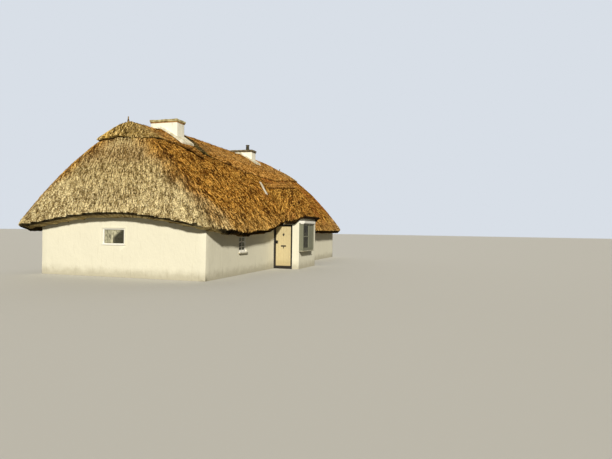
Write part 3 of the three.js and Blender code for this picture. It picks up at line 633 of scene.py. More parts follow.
@dataclass(frozen=True)
class Kit:
    """All finishes of the cottage."""

    limewash: Finish = Limewash("limewash", paint(238, 234, 214))
    chimney_render: Finish = Limewash("chimney_render", paint(252, 249, 234), paint(128, 112, 84), 0.0, 0.4)
    chimney_slab: Finish = Stone("chimney_slab", paint(208, 197, 148), paint(150, 136, 92))
    rust_course: Finish = Stone("rust_course", paint(200, 152, 84), paint(150, 100, 46))
    cement: Finish = Stone("cement", paint(190, 184, 166), paint(150, 142, 120), 0.05, growth=0.1)
    cement_fillet: Finish = Stone("cement_fillet", paint(244, 240, 222), paint(208, 200, 172), 0.08,
                                  growth=0.15)
    mortar: Finish = Stone("mortar", paint(236, 232, 218), paint(196, 188, 160), 0.05, growth=0.1)
    sill_stone: Finish = Stone("sill_stone", paint(196, 192, 172), paint(146, 140, 116), 0.04, growth=0.1)
    dark_slab: Finish = Stone("dark_slab", paint(128, 116, 88), paint(82, 72, 52), 0.05, growth=0.15)
    clay_pot: Finish = Stone("clay_pot", paint(70, 66, 50), paint(40, 38, 30), 0.05, growth=0.2)
    # The bare finishes darken their straw as painted shade, with a painted shadow line at the eaves' rim.
    thatch_bed: Finish = Thatch("thatch_bed", bare_in_painted_shade=True)
    thatch_straw: Finish = Thatch("thatch_straw")
    porch_bed: Finish = Thatch("porch_bed", bare_in_painted_shade=True, porch=True)
    porch_straw: Finish = Thatch("porch_straw", porch=True)
    thatch_butts: Finish = Thatch("thatch_butts", bare_in_painted_shade=True, contrast=1.8)
    ridge_bed: Finish = Thatch("ridge_bed", bare_in_painted_shade=True, cap=True)
    ridge_sedge: Finish = Thatch("ridge_sedge", cap=True)
    hazel: Finish = Stone("hazel", paint(182, 156, 100), paint(110, 82, 42), 0.03, growth=0.0)
    old_twist: Finish = Stone("old_twist", paint(146, 118, 62), paint(74, 54, 26), 0.03, growth=0.0)
    black_paint: Finish = Paintwork("black_paint", paint(24, 22, 24), paint(60, 52, 44), 0.35)
    cream_paint: Finish = Paintwork("cream_paint", paint(212, 196, 152), paint(170, 146, 100))
    white_paint: Finish = Paintwork("white_paint", paint(246, 244, 236), paint(186, 180, 156))
    grey_paint: Finish = Paintwork("grey_paint", paint(130, 131, 112), paint(92, 92, 76))
    black_iron: Finish = Iron("black_iron")
    window_glass: Finish = WindowGlass("window_glass")
    bay_glass: Finish = WindowGlass("bay_glass", paint(14, 14, 11), shown=0.1)
    curtained_glass: Finish = WindowGlass("curtained_glass", blind=paint(226, 222, 190), drawn=True)


KIT = Kit()


class Bench:
    """The modelling steps that the pieces share."""

    @staticmethod
    def pick(*pieces: bpy.types.Object) -> None:
        """Selects pieces and nothing else.

        Args:
            *pieces: The pieces, the first of which becomes the active one.
        """
        bpy.ops.object.select_all(action="DESELECT")
        for piece in pieces:
            piece.select_set(True)
        bpy.context.view_layer.objects.active = pieces[0]

    @staticmethod
    def start(name: str, add: Callable[..., object], **settings: object) -> bpy.types.Object:
        """Adds a primitive to be shaped further, with its place in its mesh.

        Args:
            name: The name of the piece.
            add: The operator that adds it.
            **settings: What the operator is told.

        Returns:
            The piece, alone selected.
        """
        bpy.ops.object.select_all(action="DESELECT")
        add(**settings)
        bpy.ops.object.transform_apply(location=True, rotation=True, scale=True)
        piece = bpy.context.view_layer.objects.active
        piece.name = name
        return piece

    @staticmethod
    def join(name: str, *pieces: bpy.types.Object) -> bpy.types.Object:
        """Joins pieces into one.

        Args:
            name: The name of the result.
            *pieces: The pieces.

        Returns:
            The result, alone selected.
        """
        Bench.pick(*pieces)
        if len(pieces) > 1:
            bpy.ops.object.join()
        piece = bpy.context.view_layer.objects.active
        piece.name = name
        return piece

    @staticmethod
    def copy(name: str, *nodes: str) -> bpy.types.Object:
        """Copies CAD nodes into one new piece with merged vertices.

        Args:
            name: The name of the piece.
            *nodes: The nodes.

        Returns:
            The piece.
        """
        copies = [Bench.duplicate(bpy.data.objects[node], name) for node in nodes]
        for made in copies:
            made.data.materials.clear()
        piece = Bench.join(name, *copies)
        with Bench.editing("VERT"):
            bpy.ops.mesh.remove_doubles(threshold=MERGE_DISTANCE)
        return piece

    @staticmethod
    def duplicate(piece: bpy.types.Object, name: str) -> bpy.types.Object:
        """Copies a piece with a mesh of its own.

        Args:
            piece: The piece.
            name: The name of the copy.

        Returns:
            The copy.
        """
        made = bpy.data.objects.new(name, piece.data.copy())
        bpy.context.scene.collection.objects.link(made)
        return made

    @staticmethod
    def edit(kind: str, selected: bool = True) -> None:
        """Opens the active piece for editing.

        Args:
            kind: VERT, EDGE or FACE.
            selected: Whether everything or nothing is selected.
        """
        bpy.ops.object.mode_set(mode="EDIT")
        bpy.ops.mesh.select_mode(type=kind)
        bpy.ops.mesh.select_all(action="SELECT" if selected else "DESELECT")

    @staticmethod
    @contextmanager
    def editing(kind: str, selected: bool = True) -> Iterator[None]:
        """Opens the active piece for editing, and closes it afterwards.

        Args:
            kind: VERT, EDGE or FACE.
            selected: Whether everything or nothing is selected.

        Yields:
            Nothing.
        """
        Bench.edit(kind, selected)
        yield
        bpy.ops.object.mode_set(mode="OBJECT")

    @staticmethod
    @contextmanager
    def choosing(piece: bpy.types.Object, kind: str, chosen: Sequence[bool]) -> Iterator[None]:
        """Opens a piece for editing with only some of it selected, and closes it afterwards.

        Args:
            piece: The piece.
            kind: VERT, EDGE or FACE.
            chosen: Whether each vertex, edge or face is selected.

        Yields:
            Nothing.
        """
        Bench.pick(piece)
        Bench.edit(kind, selected=False)
        bpy.ops.object.mode_set(mode="OBJECT")
        mesh = piece.data
        elements = {"VERT": mesh.vertices, "EDGE": mesh.edges, "FACE": mesh.polygons}
        elements[kind].foreach_set("select", chosen)
        bpy.ops.object.mode_set(mode="EDIT")
        yield
        bpy.ops.object.mode_set(mode="OBJECT")

    @staticmethod
    def delete_faces(piece: bpy.types.Object, doomed: np.ndarray) -> None:
        """Takes faces out of a mesh.

        Args:
            piece: The piece.
            doomed: Whether each face goes.
        """
        with Bench.choosing(piece, "FACE", doomed):
            bpy.ops.mesh.delete(type="FACE")

    @staticmethod
    def divide(piece: bpy.types.Object, axis: int, low: float, high: float, count: int) -> None:
        """Divides the faces of a piece along planes spaced evenly on one axis.

        Args:
            piece: The piece.
            axis: The axis, 0 to 2.
            low: Where the first stretch starts.
            high: Where the last stretch ends.
            count: How many stretches there are.
        """
        Bench.pick(piece)
        for number in range(1, count):
            spot = [0.0, 0.0, 0.0]
            spot[axis] = low + (high - low) * number / count
            with Bench.editing("FACE"):
                bpy.ops.mesh.bisect(plane_co=spot, plane_no=[float(axis == n) for n in range(3)])

    @staticmethod
    def modify(piece: bpy.types.Object, kind: str, **settings: object) -> None:
        """Adds a modifier and applies it.

        Args:
            piece: The piece.
            kind: The modifier's type.
            **settings: Its properties.
        """
        Bench.pick(piece)
        modifier = piece.modifiers.new(kind.lower(), kind)
        for name, setting in settings.items():
            setattr(modifier, name, setting)
        bpy.ops.object.modifier_apply(modifier=modifier.name)

    @staticmethod
    def faces(piece: bpy.types.Object) -> tuple[np.ndarray, np.ndarray]:
        """Reads the faces of a mesh.

        Args:
            piece: The piece.

        Returns:
            Their centres and their normals, a row for each face.
        """
        count = len(piece.data.polygons)
        centres, normals = np.empty(count * 3, np.float32), np.empty(count * 3, np.float32)
        piece.data.polygons.foreach_get("center", centres)
        piece.data.polygons.foreach_get("normal", normals)
        return centres.reshape(-1, 3), normals.reshape(-1, 3)

    @staticmethod
    def hand_over(piece: bpy.types.Object, finish: Finish, slot: str, body: str = HOUSE,
                  stands_for: Sequence[str] = ()) -> None:
        """Gives a finished piece its material and its body.

        Args:
            piece: The piece.
            finish: Its finish.
            slot: The record's slot; not used.
            body: The body it rides on.
            stands_for: The CAD nodes it replaces.
        """
        Bench.coat(piece, finish)
        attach(piece, body)
        if stands_for:
            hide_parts(*stands_for)
        piece.data.calc_loop_triangles()
        LOG.info("%s: %d triangles", piece.name, len(piece.data.loop_triangles))

    @staticmethod
    def coat(piece: bpy.types.Object, finish: Finish) -> None:
        """Gives a piece, or a CAD node that stays, its finish."""
        piece.data.materials.clear()
        piece.data.materials.append(finish.material())


class GeometryGraph(Graph):
    """A geometry modifier's nodes, laid out and then applied to a piece."""

    def __init__(self, name: str) -> None:
        """Makes the tree with its geometry sockets.

        Args:
            name: The name of the tree.
        """
        tree = bpy.data.node_groups.new(name, "GeometryNodeTree")
        for way in ("INPUT", "OUTPUT"):
            tree.interface.new_socket("Geometry", in_out=way, socket_type="NodeSocketGeometry")
        super().__init__(tree)
        self.source = self.node("NodeGroupInput").outputs[0]

    def place(self) -> bpy.types.NodeSocket:
        """The point of the mesh."""
        return self.node("GeometryNodeInputPosition").outputs[0]

    def normal(self) -> bpy.types.NodeSocket:
        """The normal of the mesh."""
        return self.node("GeometryNodeInputNormal").outputs[0]

    def chance(self, low: object, high: object, seed: int, kind: str = "FLOAT") -> bpy.types.NodeSocket:
        """A random value for each point.

        Args:
            low: The least.
            high: The most.
            seed: The seed.
            kind: FLOAT or FLOAT_VECTOR.

        Returns:
            The value.
        """
        node = self.node("FunctionNodeRandomValue", {"data_type": kind})
        socket_type = "VALUE" if kind == "FLOAT" else "VECTOR"
        ends = [s for s in node.inputs if s.name in ("Min", "Max") and s.type == socket_type]
        ends[0].default_value = low
        ends[1].default_value = high
        node.inputs["Seed"].default_value = seed
        return next(s for s in node.outputs if s.name == "Value" and s.type == socket_type)

    def apply(self, piece: bpy.types.Object, geometry: bpy.types.NodeSocket) -> None:
        """Ends the graph and applies it to a piece.

        Args:
            piece: The piece.
            geometry: The result.
        """
        self.node("NodeGroupOutput", None, {0: geometry})
        Bench.modify(piece, "NODES", node_group=self.tree)

    def push(self, piece: bpy.types.Object, lift: Value) -> None:
        """Ends the graph by moving each point of a piece along its normal.

        Args:
            piece: The piece.
            lift: How far each point moves out.
        """
        offset = self.vector("SCALE", self.normal(), lift)
        moved = self.node("GeometryNodeSetPosition", None, {"Geometry": self.source, "Offset": offset})
        self.apply(piece, moved.outputs[0])


class Side(Enum):
    """The part of the roof that a face looks out of."""

    NEAR = "near_hip"
    FRONT = "front"
    BACK = "back"
    FAR = "far_hip"

    def holds(self, normals: np.ndarray) -> np.ndarray:
        """Tells the faces of this side.

        Args:
            normals: The normals of the faces.

        Returns:
            Whether each face belongs to it.
        """
        across, along = normals[:, 0], normals[:, 1]
        lengthwise = np.abs(along) > np.abs(across) * 0.9
        tests = {
            Side.NEAR: lengthwise & (along < 0),
            Side.FAR: lengthwise & (along >= 0),
            Side.FRONT: ~lengthwise & (across > 0),
            Side.BACK: ~lengthwise & (across <= 0),
        }
        return tests[self]


@dataclass
class StrawBed:
    """Loose straw tips over a bed of packed straw.

    Attributes:
        name: The name of the piece.
        count: How many tips.
        length: How long a tip is, in metres.
        width: How wide its butt is.
        proud: How far its butt stands off the bed.
        stray: How far a tip turns off the fall of the roof, in radians.
        pitch: The least and the most that a tip is tipped up off the bed, in radians.
        roll: How far a tip rolls about its length, in radians.
        least_size: The least share of its length, width and height that a tip has.
        most_size: The most.
        seed: The seed of its chances.
    """

    name: str
    count: int
    length: float = 0.17
    width: float = 0.03
    proud: float = 0.012
    stray: float = 0.22
    pitch: tuple[float, float] = (0.02, 0.26)
    roll: float = 0.25
    least_size: Point = (0.6, 0.5, 0.5)
    most_size: Point = (1.4, 1.4, 1.2)
    seed: int = 1

    def tip(self) -> bpy.types.Object:
        """Models one tip: a slim three-sided spike from its butt up the slope, along -X.

        Returns:
            The tip, as an object that is deleted afterwards.
        """
        return Bench.start("tip", bpy.ops.mesh.primitive_cone_add, vertices=3, radius1=self.width * 0.66,
                           radius2=0.0, depth=self.length, end_fill_type="NOTHING",
                           location=(-self.length * 0.4, 0.0, 0.0), rotation=(0.0, -math.pi / 2, 0.0))

    def grow(self, bed: bpy.types.Object, keep: np.ndarray, finish: Finish, slot: str) -> None:
        """Grows the tips on some faces of a bed, as one piece.

        Args:
            bed: The bed.
            keep: Whether each of its faces carries tips.
            finish: The finish of the tips.
            slot: The record's slot.
        """
        piece = Bench.duplicate(bed, self.name)
        Bench.delete_faces(piece, ~keep)
        area = sum(face.area for face in piece.data.polygons)
        tip = self.tip()
        graph = GeometryGraph(self.name)
        spread = graph.node("GeometryNodeDistributePointsOnFaces", None,
                            {"Mesh": graph.source, "Density": self.count / area, "Seed": self.seed})
        normal = spread.outputs["Normal"]
        lifted = graph.node("GeometryNodeSetPosition", None,
                            {"Geometry": spread.outputs["Points"],
                             "Offset": graph.vector("SCALE", normal, self.proud)})
        shape = graph.node("GeometryNodeObjectInfo", None, {"Object": tip})
        size = graph.chance(self.least_size, self.most_size, self.seed + 2, "FLOAT_VECTOR")
        placed = graph.node("GeometryNodeInstanceOnPoints", None,
                            {"Points": lifted.outputs[0], "Instance": shape.outputs["Geometry"],
                             "Rotation": self.lie(graph, normal), "Scale": size})
        toned = graph.node("GeometryNodeStoreNamedAttribute", {"data_type": "FLOAT", "domain": "INSTANCE"},
                           {"Geometry": placed.outputs[0], "Name": "straw_tone",
                            "Value": graph.chance(0.0, 1.0, self.seed + 3)})
        real = graph.node("GeometryNodeRealizeInstances", None, {0: toned.outputs[0]})
        low, high = self.envelope()
        held = graph.vector("MINIMUM", graph.vector("MAXIMUM", graph.place(), low), high)
        inside = graph.node("GeometryNodeSetPosition", None, {"Geometry": real.outputs[0], "Position": held})
        graph.apply(piece, inside.outputs[0])
        bpy.data.objects.remove(tip)
        Bench.hand_over(piece, finish, slot)

    def lie(self, graph: GeometryGraph, normal: bpy.types.NodeSocket) -> bpy.types.NodeSocket:
        """How a tip lies: down the fall of the roof, turned a little by chance.

        Args:
            graph: The graph.
            normal: The normal of the bed.

        Returns:
            The rotation.
        """
        fall = graph.vector("ADD", (0.0, 0.0, -1.0), graph.vector("SCALE", normal, graph.parts(normal)[2]))
        axes = {"primary_axis": "Z", "secondary_axis": "X"}
        straight = graph.node("FunctionNodeAxesToRotation", axes, {0: normal, 1: fall})
        least = (-self.roll, -self.pitch[1], -self.stray)
        most = (self.roll, -self.pitch[0], self.stray)
        turn = graph.chance(least, most, self.seed + 1, "FLOAT_VECTOR")
        euler = graph.node("FunctionNodeEulerToRotation", None, {0: turn})
        turned = graph.node("FunctionNodeRotateRotation", {"rotation_space": "LOCAL"},
                            {0: straight.outputs[0], 1: euler.outputs[0]})
        return turned.outputs[0]

    @staticmethod
    def envelope() -> tuple[Point, Point]:
        """The room that loose straw may take, out to where the roofs reach in the CAD.

        Returns:
            Its low corner, on the ground, and its high corner, just above the ridge.
        """
        over_ridge = 0.3
        boxes = [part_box(node) for node in ("near_hip_thatch", "far_hip_thatch", "back_thatch",
                                           "porch_thatch_near")]
        low = tuple(min(box[0][axis] for box in boxes) for axis in range(3))
        high = tuple(max(box[1][axis] for box in boxes) for axis in range(3))
        return (low[0], low[1], 0.0), (high[0], high[1], high[2] + over_ridge)


@dataclass(frozen=True)
class Sowing:
    """How thickly and how neatly a slope is covered with straw tips.

    Attributes:
        slot: The record's slot of the slope.
        count: How many tips.
        length: How long a tip is, in metres.
        width: How wide its butt is.
        stray: How far a tip turns off the fall of the roof, in radians.
        seed: The seed of its chances.
    """

    slot: str
    count: int
    length: float
    width: float
    stray: float
    seed: int


SOWING = {
    Side.NEAR: Sowing("hip_thatch", 56000, 0.19, 0.028, 0.2, 11),
    Side.FRONT: Sowing("front_thatch", 58000, 0.3, 0.034, 0.1, 21),
    Side.BACK: Sowing("back_thatch", 42000, 0.3, 0.04, 0.12, 31),
    Side.FAR: Sowing("hip_thatch", 22000, 0.24, 0.042, 0.2, 41),
}


@dataclass
class Roof:
    """The straw roof: its packed coat, its loose tips and the layer along its ridge.

    Attributes:
        voxel: The size of the coat's facets before they are thinned, in metres.
        thinned: The share of those facets that stays.
        shrink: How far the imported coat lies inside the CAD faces.
        swell: How far its broad lumps stand off.
        layer_rise: How far the ridge's layer rises over the coat.
        layer_sunk: How much thicker it is than that, so that it sits in the coat.
        layer_stations: Places along the house where the front edge of the layer is given.
        layer_edges: The height of that edge at each.
        end_edge: The height of the layer's edge on the ends and at the back.
        lap: How far up under the layer the slopes' tips still grow.
        rod_heights: The heights of the hazel rods that pin the layer.
        rod_radius: How thick a rod is, across half its width.
        rod_lift: How far the rods lie over the layer's rise.
    """

    voxel: float = 0.09
    thinned: float = 0.5
    shrink: float = 0.02
    swell: float = 0.035
    layer_rise: float = 0.06
    layer_sunk: float = 0.03
    layer_stations: tuple[float, ...] = (
        -8.7, -7.5, -6.9, -6.45, -6.25, -5.9, -5.6, -4.6, -3.6, -2.7, 1.5, 6.0, 8.6)
    layer_edges: tuple[float, ...] = (
        5.06, 5.16, 5.06, 4.95, 4.68, 4.62, 4.93, 4.85, 4.65, 4.45, 4.4, 4.9, 5.06)
    end_edge: float = 5.06
    lap: float = 0.2
    rod_heights: tuple[float, ...] = (5.17, 5.28, 5.39, 5.5, 5.61)
    rod_radius: float = 0.013
    rod_lift: float = 0.028

    def build(self) -> bpy.types.Object:
        """Builds every piece of the roof.

        Returns:
            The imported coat.
        """
        nodes = ("front_thatch", "back_thatch", "near_hip_thatch", "far_hip_thatch")
        coat = self.pack("thatch_coat", nodes, self.voxel, self.shrink, self.swell)
        Bench.modify(coat, "DECIMATE", ratio=self.thinned)
        centres, normals = Bench.faces(coat)
        outside = self.outside(centres, normals)
        edge = self.layer_edge(centres, normals)
        outer = (normals[:, 2] > 0.05) & outside & (centres[:, 2] <= edge + self.lap)
        for side, sown in SOWING.items():
            bed = StrawBed(f"{side.value}_straw", sown.count, sown.length, sown.width,
                           stray=sown.stray, seed=sown.seed)
            bed.grow(coat, outer & side.holds(normals), KIT.thatch_straw, sown.slot)
        butts = outside & (normals[:, 2] <= 0.05) & (normals[:, 2] > -0.9)
        # The eave stubs are darkened as painted shade by their bare finish.
        stubs = StrawBed("eave_stubs", 16000, 0.07, 0.03, 0.0, 0.6, (0.9, 1.7), seed=71)
        stubs.grow(coat, butts, KIT.thatch_butts, "front_thatch")
        self.lay_ridge(coat, outside & (centres[:, 2] > edge) & (normals[:, 2] > -0.1))
        Bench.hand_over(coat, KIT.thatch_bed, "front_thatch", stands_for=nodes)
        return coat

    @staticmethod
    def outside(centres: np.ndarray, normals: np.ndarray) -> np.ndarray:
        """Tells the faces that look away from the middle of the house.

        Args:
            centres: The centres of the faces.
            normals: Their normals.

        Returns:
            Whether each face looks outwards.
        """
        middle = centres.copy()
        middle[:, 1] = np.clip(middle[:, 1], -RIDGE_REACH, RIDGE_REACH)
        middle[:, 0] = -RIDGE_BEHIND
        flat = np.einsum("ij,ij->i", (centres - middle)[:, :2], normals[:, :2])
        return (flat > 0) | (normals[:, 2] > 0.3)

    def layer_edge(self, centres: np.ndarray, normals: np.ndarray) -> np.ndarray:
        """The height of the ridge layer's lower edge beside each face.

        Args:
            centres: The centres of the faces.
            normals: Their normals.

        Returns:
            The heights.
        """
        front = np.interp(centres[:, 1], self.layer_stations, self.layer_edges)
        ragged = 0.03 * np.sin(centres[:, 1] * 5.1 + centres[:, 0] * 4.3) * np.sin(centres[:, 1] * 1.7 + 1.0)
        return np.where(Side.FRONT.holds(normals), front, self.end_edge) + ragged

    @staticmethod
    def pack(name: str, nodes: Sequence[str], voxel: float, shrink: float,
             swell: float) -> bpy.types.Object:
        """Packs straw as one closed shell, with the lumps and furrows of an old roof.

        Args:
            name: The name of the piece.
            nodes: The CAD nodes it follows.
            voxel: The size of its facets.
            shrink: How far it is drawn in.
            swell: How high its lumps are.

        Returns:
            The piece.
        """
        piece = Bench.copy(name, *nodes)
        Bench.modify(piece, "REMESH", mode="VOXEL", voxel_size=voxel, use_smooth_shade=True)
        Bench.modify(piece, "SMOOTH", factor=0.5, iterations=2)
        Roof.settle(piece, shrink, swell)
        return piece

    @staticmethod
    def settle(piece: bpy.types.Object, shrink: float, swell: float) -> None:
        """Gives a bed of straw its lumps, and furrows down the fall of the roof.

        Args:
            piece: The bed.
            shrink: How far it is drawn in.
            swell: How high its lumps are.
        """
        graph = GeometryGraph("settle")
        x, y, z = graph.parts(graph.place())
        across, along, _ = graph.parts(graph.normal())
        lengthwise = (abs(along) - abs(across)).step(-0.3, 0.3)
        run = x * lengthwise + y * (1.0 - lengthwise)
        furrow = graph.noise(0.55, 2.0, place=graph.joined(run, z * 0.12, 0.0)) - 0.5
        lumps = graph.noise(1.3, 3.0) - 0.5
        graph.push(piece, furrow * (swell * 1.6) + lumps * (swell * 2.2) - shrink)

    def lay_ridge(self, coat: bpy.types.Object, covered: np.ndarray) -> None:
        """Lays the extra layer along the ridge, its straw and its rods.

        Args:
            coat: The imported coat.
            covered: Whether each of the coat's faces lies under the layer.
        """
        layer = Bench.duplicate(coat, "ridge_layer")
        Bench.delete_faces(layer, ~covered)
        with Bench.editing("EDGE", selected=False):
            bpy.ops.mesh.select_non_manifold(extend=False, use_wire=False, use_multi_face=False,
                                             use_non_contiguous=False, use_verts=False)
            bpy.ops.mesh.vertices_smooth(factor=0.5, repeat=4)
        skin = Bench.duplicate(layer, "ridge_rods")
        self.lift_edge(layer)
        Bench.modify(layer, "SOLIDIFY", thickness=self.layer_rise + self.layer_sunk, offset=0.6)
        centres, normals = Bench.faces(layer)
        outer = self.outside(centres, normals) & (normals[:, 2] > 0.15)
        straw = StrawBed("ridge_straw", 34000, length=0.2, width=0.026, seed=61)
        straw.grow(layer, outer, KIT.ridge_sedge, "ridge_sedge")
        Bench.hand_over(layer, KIT.ridge_bed, "ridge_sedge", stands_for=("ridge_cap",))
        self.pin_rods(skin)
        Bench.hand_over(skin, KIT.hazel, "ridge_sedge")

    @staticmethod
    def lift_edge(layer: bpy.types.Object) -> None:
        """Lets the layer gape where its front edge has worked loose, before the first chimney.

        Args:
            layer: The layer.
        """
        gape, plump = 0.09, 0.06
        graph = GeometryGraph("gape")
        x, y, z = graph.parts(graph.place())
        loose = (x.step(0.5, 0.9) * z.step(5.3, 4.95)) * (y.step(-8.6, -7.9) * y.step(-5.6, -6.0))
        full = x.step(0.2, -0.5) * y.step(-7.0, -8.0)
        graph.push(layer, loose * gape + full * plump)

    def pin_rods(self, skin: bpy.types.Object) -> None:
        """Turns a skin of the layer into the rods that run round it.

        Args:
            skin: The skin; it becomes the rods.
        """
        Bench.modify(skin, "DISPLACE", strength=self.layer_rise + self.rod_lift, mid_level=0.0)
        cuts = [self.cut(skin, height) for height in self.rod_heights]
        Bench.join("rods", *cuts)
        bpy.ops.object.convert(target="CURVE")
        path = bpy.context.view_layer.objects.active.data
        path.bevel_depth = self.rod_radius
        path.bevel_resolution = 1
        path.use_fill_caps = True
        bpy.ops.object.convert(target="MESH")
        rods = bpy.context.view_layer.objects.active
        spare = skin.data
        skin.data = rods.data
        bpy.data.objects.remove(rods)
        bpy.data.meshes.remove(spare)

    @staticmethod
    def cut(skin: bpy.types.Object, height: float) -> bpy.types.Object:
        """Cuts a level line out of a skin.

        Args:
            skin: The skin, which stays.
            height: The height of the cut.

        Returns:
            The edges where the skin was cut.
        """
        near = 0.0005
        line = Bench.duplicate(skin, "rod")
        Bench.pick(line)
        with Bench.editing("EDGE"):
            bpy.ops.mesh.bisect(plane_co=(0.0, 0.0, height), plane_no=(0.0, 0.0, 1.0))
        heights = np.array([vertex.co.z for vertex in line.data.vertices])
        with Bench.choosing(line, "VERT", np.abs(heights - height) >= near):
            bpy.ops.mesh.delete(type="VERT")
            bpy.ops.mesh.select_all(action="SELECT")
            bpy.ops.mesh.delete(type="ONLY_FACE")
        return line


@dataclass
class PorchRoof:
    """The small roof over the porch, with its own ridge and the mortar in its valley.

    Attributes:
        voxel: The size of its facets, in metres.
        shrink: How far its packed straw lies inside the CAD faces.
        swell: How high its lumps are.
        ridge_voxel: The size of its ridge's facets.
        ridge_shrink: How far the ridge lies inside the CAD faces.
        ridge_swell: How high the ridge's lumps are.
        valley: The upper and lower end of the mortar strip, on the near side.
        slope: The way that the roof under the strip looks.
        strip_width: How wide the strip is.
        strip_depth: How thick it is.
        strip_ease: How far its edges are rounded.
    """

    voxel: float = 0.065
    shrink: float = 0.015
    swell: float = 0.02
    ridge_voxel: float = 0.022
    ridge_shrink: float = 0.004
    ridge_swell: float = 0.01
    valley: tuple[Point, Point] = ((2.54, -1.86, 4.08), (3.12, -2.44, 3.47))
    slope: Point = (0.69, 0.0, 0.73)
    strip_width: float = 0.11
    strip_depth: float = 0.05
    strip_ease: float = 0.008

    def build(self, coat: bpy.types.Object) -> None:
        """Builds the pieces of the porch's roof.

        Args:
            coat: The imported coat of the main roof, which the strip lies on.
        """
        nodes = ("porch_thatch_near", "porch_thatch_far")
        bed = Roof.pack("porch_thatch_coat", nodes, self.voxel, self.shrink, self.swell)
        _, normals = Bench.faces(bed)
        straw = StrawBed("porch_straw", 14000, 0.22, 0.032, stray=0.14, seed=81)
        straw.grow(bed, normals[:, 2] > 0.1, KIT.porch_straw, "porch_thatch")
        Bench.hand_over(bed, KIT.porch_bed, "porch_thatch", stands_for=nodes)
        self.build_ridge()
        self.lay_strip(coat)

    def build_ridge(self) -> None:
        """Builds the porch's ridge layer and its straw."""
        layer = Bench.copy("porch_ridge_layer", "porch_ridge_cap")
        Bench.modify(layer, "REMESH", mode="VOXEL", voxel_size=self.ridge_voxel, use_smooth_shade=True)
        Roof.settle(layer, self.ridge_shrink, self.ridge_swell)
        _, normals = Bench.faces(layer)
        straw = StrawBed("porch_ridge_straw", 4000, 0.16, 0.028, 0.006, seed=91)
        straw.grow(layer, normals[:, 2] > 0.2, KIT.ridge_sedge, "ridge_sedge")
        Bench.hand_over(layer, KIT.ridge_bed, "ridge_sedge", stands_for=("porch_ridge_cap",))

    def lay_strip(self, coat: bpy.types.Object) -> None:
        """Lays the pale mortar strip beside the valley, down the near side.

        Args:
            coat: The straw it lies on.
        """
        upper, lower = (Vector(end) for end in self.valley)
        strip = Bench.start("valley_mortar", bpy.ops.mesh.primitive_grid_add,
                            x_subdivisions=14, y_subdivisions=3, size=1.0)
        down = (lower - upper).normalized()
        side = Vector(self.slope).cross(down).normalized()
        turn = np.array([down, side, down.cross(side)]).T
        spots = np.array([vertex.co for vertex in strip.data.vertices])
        spots *= ((lower - upper).length, self.strip_width, 1.0)
        spots = spots @ turn.T + np.array((upper + lower) / 2)
        strip.data.vertices.foreach_set("co", spots.astype(np.float32).ravel())
        Bench.modify(strip, "SHRINKWRAP", target=coat, wrap_method="NEAREST_SURFACEPOINT",
                     wrap_mode="ABOVE_SURFACE", offset=self.strip_depth)
        Bench.modify(strip, "SOLIDIFY", thickness=self.strip_depth, offset=0.0)
        Bench.modify(strip, "BEVEL", width=self.strip_ease, segments=2)
        Bench.hand_over(strip, KIT.mortar, "cement_fillet")


@dataclass
class Finial:
    """The twisted straw stub that ends the ridge.

    Attributes:
        node: The CAD node it replaces.
        height: How tall it is, in metres.
        girth: How thick it is at its foot, across half its width.
        sunk: The share of its height that lies under the node's top.
        stretches: How many stretches its height is divided into.
        ribs: How many ribs it has.
        rib_depth: How far a rib stands off, as a share of the girth.
        twist: How far it is wound, in radians.
        taper: The share of its girth that is gone at its tip.
        bound_at: The share of its height at which it is bound.
        bound_wide: How wide the waist of the binding is, as a share of its height.
        bound_deep: The share of its girth that the binding draws in.
    """

    node: str
    height: float = 0.24
    girth: float = 0.05
    sunk: float = 0.72
    stretches: int = 9
    ribs: int = 5
    rib_depth: float = 0.28
    twist: float = 3.4
    taper: float = 0.62
    bound_at: float = 0.62
    bound_wide: float = 0.09
    bound_deep: float = 0.3

    def build(self) -> None:
        """Builds the stub: a ribbed spike, wound round itself and bound near its tip."""
        low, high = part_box(self.node)
        foot = ((low.x + high.x) / 2, (low.y + high.y) / 2, high.z - self.height * self.sunk)
        spike = Bench.start(f"{self.node}_twist", bpy.ops.mesh.primitive_cylinder_add,
                            vertices=self.ribs * 2, radius=self.girth, depth=self.height,
                            location=(0.0, 0.0, self.height / 2))
        Bench.divide(spike, 2, 0.0, self.height, self.stretches)
        spots = np.array([vertex.co for vertex in spike.data.vertices])
        rise = spots[:, 2] / self.height
        angle = np.arctan2(spots[:, 1], spots[:, 0])
        ribbed = 1.0 + self.rib_depth * np.cos(angle * self.ribs)
        bound = 1.0 - self.bound_deep * np.exp(-((rise - self.bound_at) / self.bound_wide) ** 2)
        reach = self.girth * ribbed * ((1.0 - self.taper * rise) * bound)
        turn = angle + rise * self.twist
        spots[:, 0] = reach * np.cos(turn) + foot[0]
        spots[:, 1] = reach * np.sin(turn) + foot[1]
        spots[:, 2] += foot[2]
        spike.data.vertices.foreach_set("co", spots.astype(np.float32).ravel())
        Bench.modify(spike, "SUBSURF", levels=1, render_levels=1)
        Bench.hand_over(spike, KIT.old_twist, "ridge_sedge", stands_for=(self.node,))


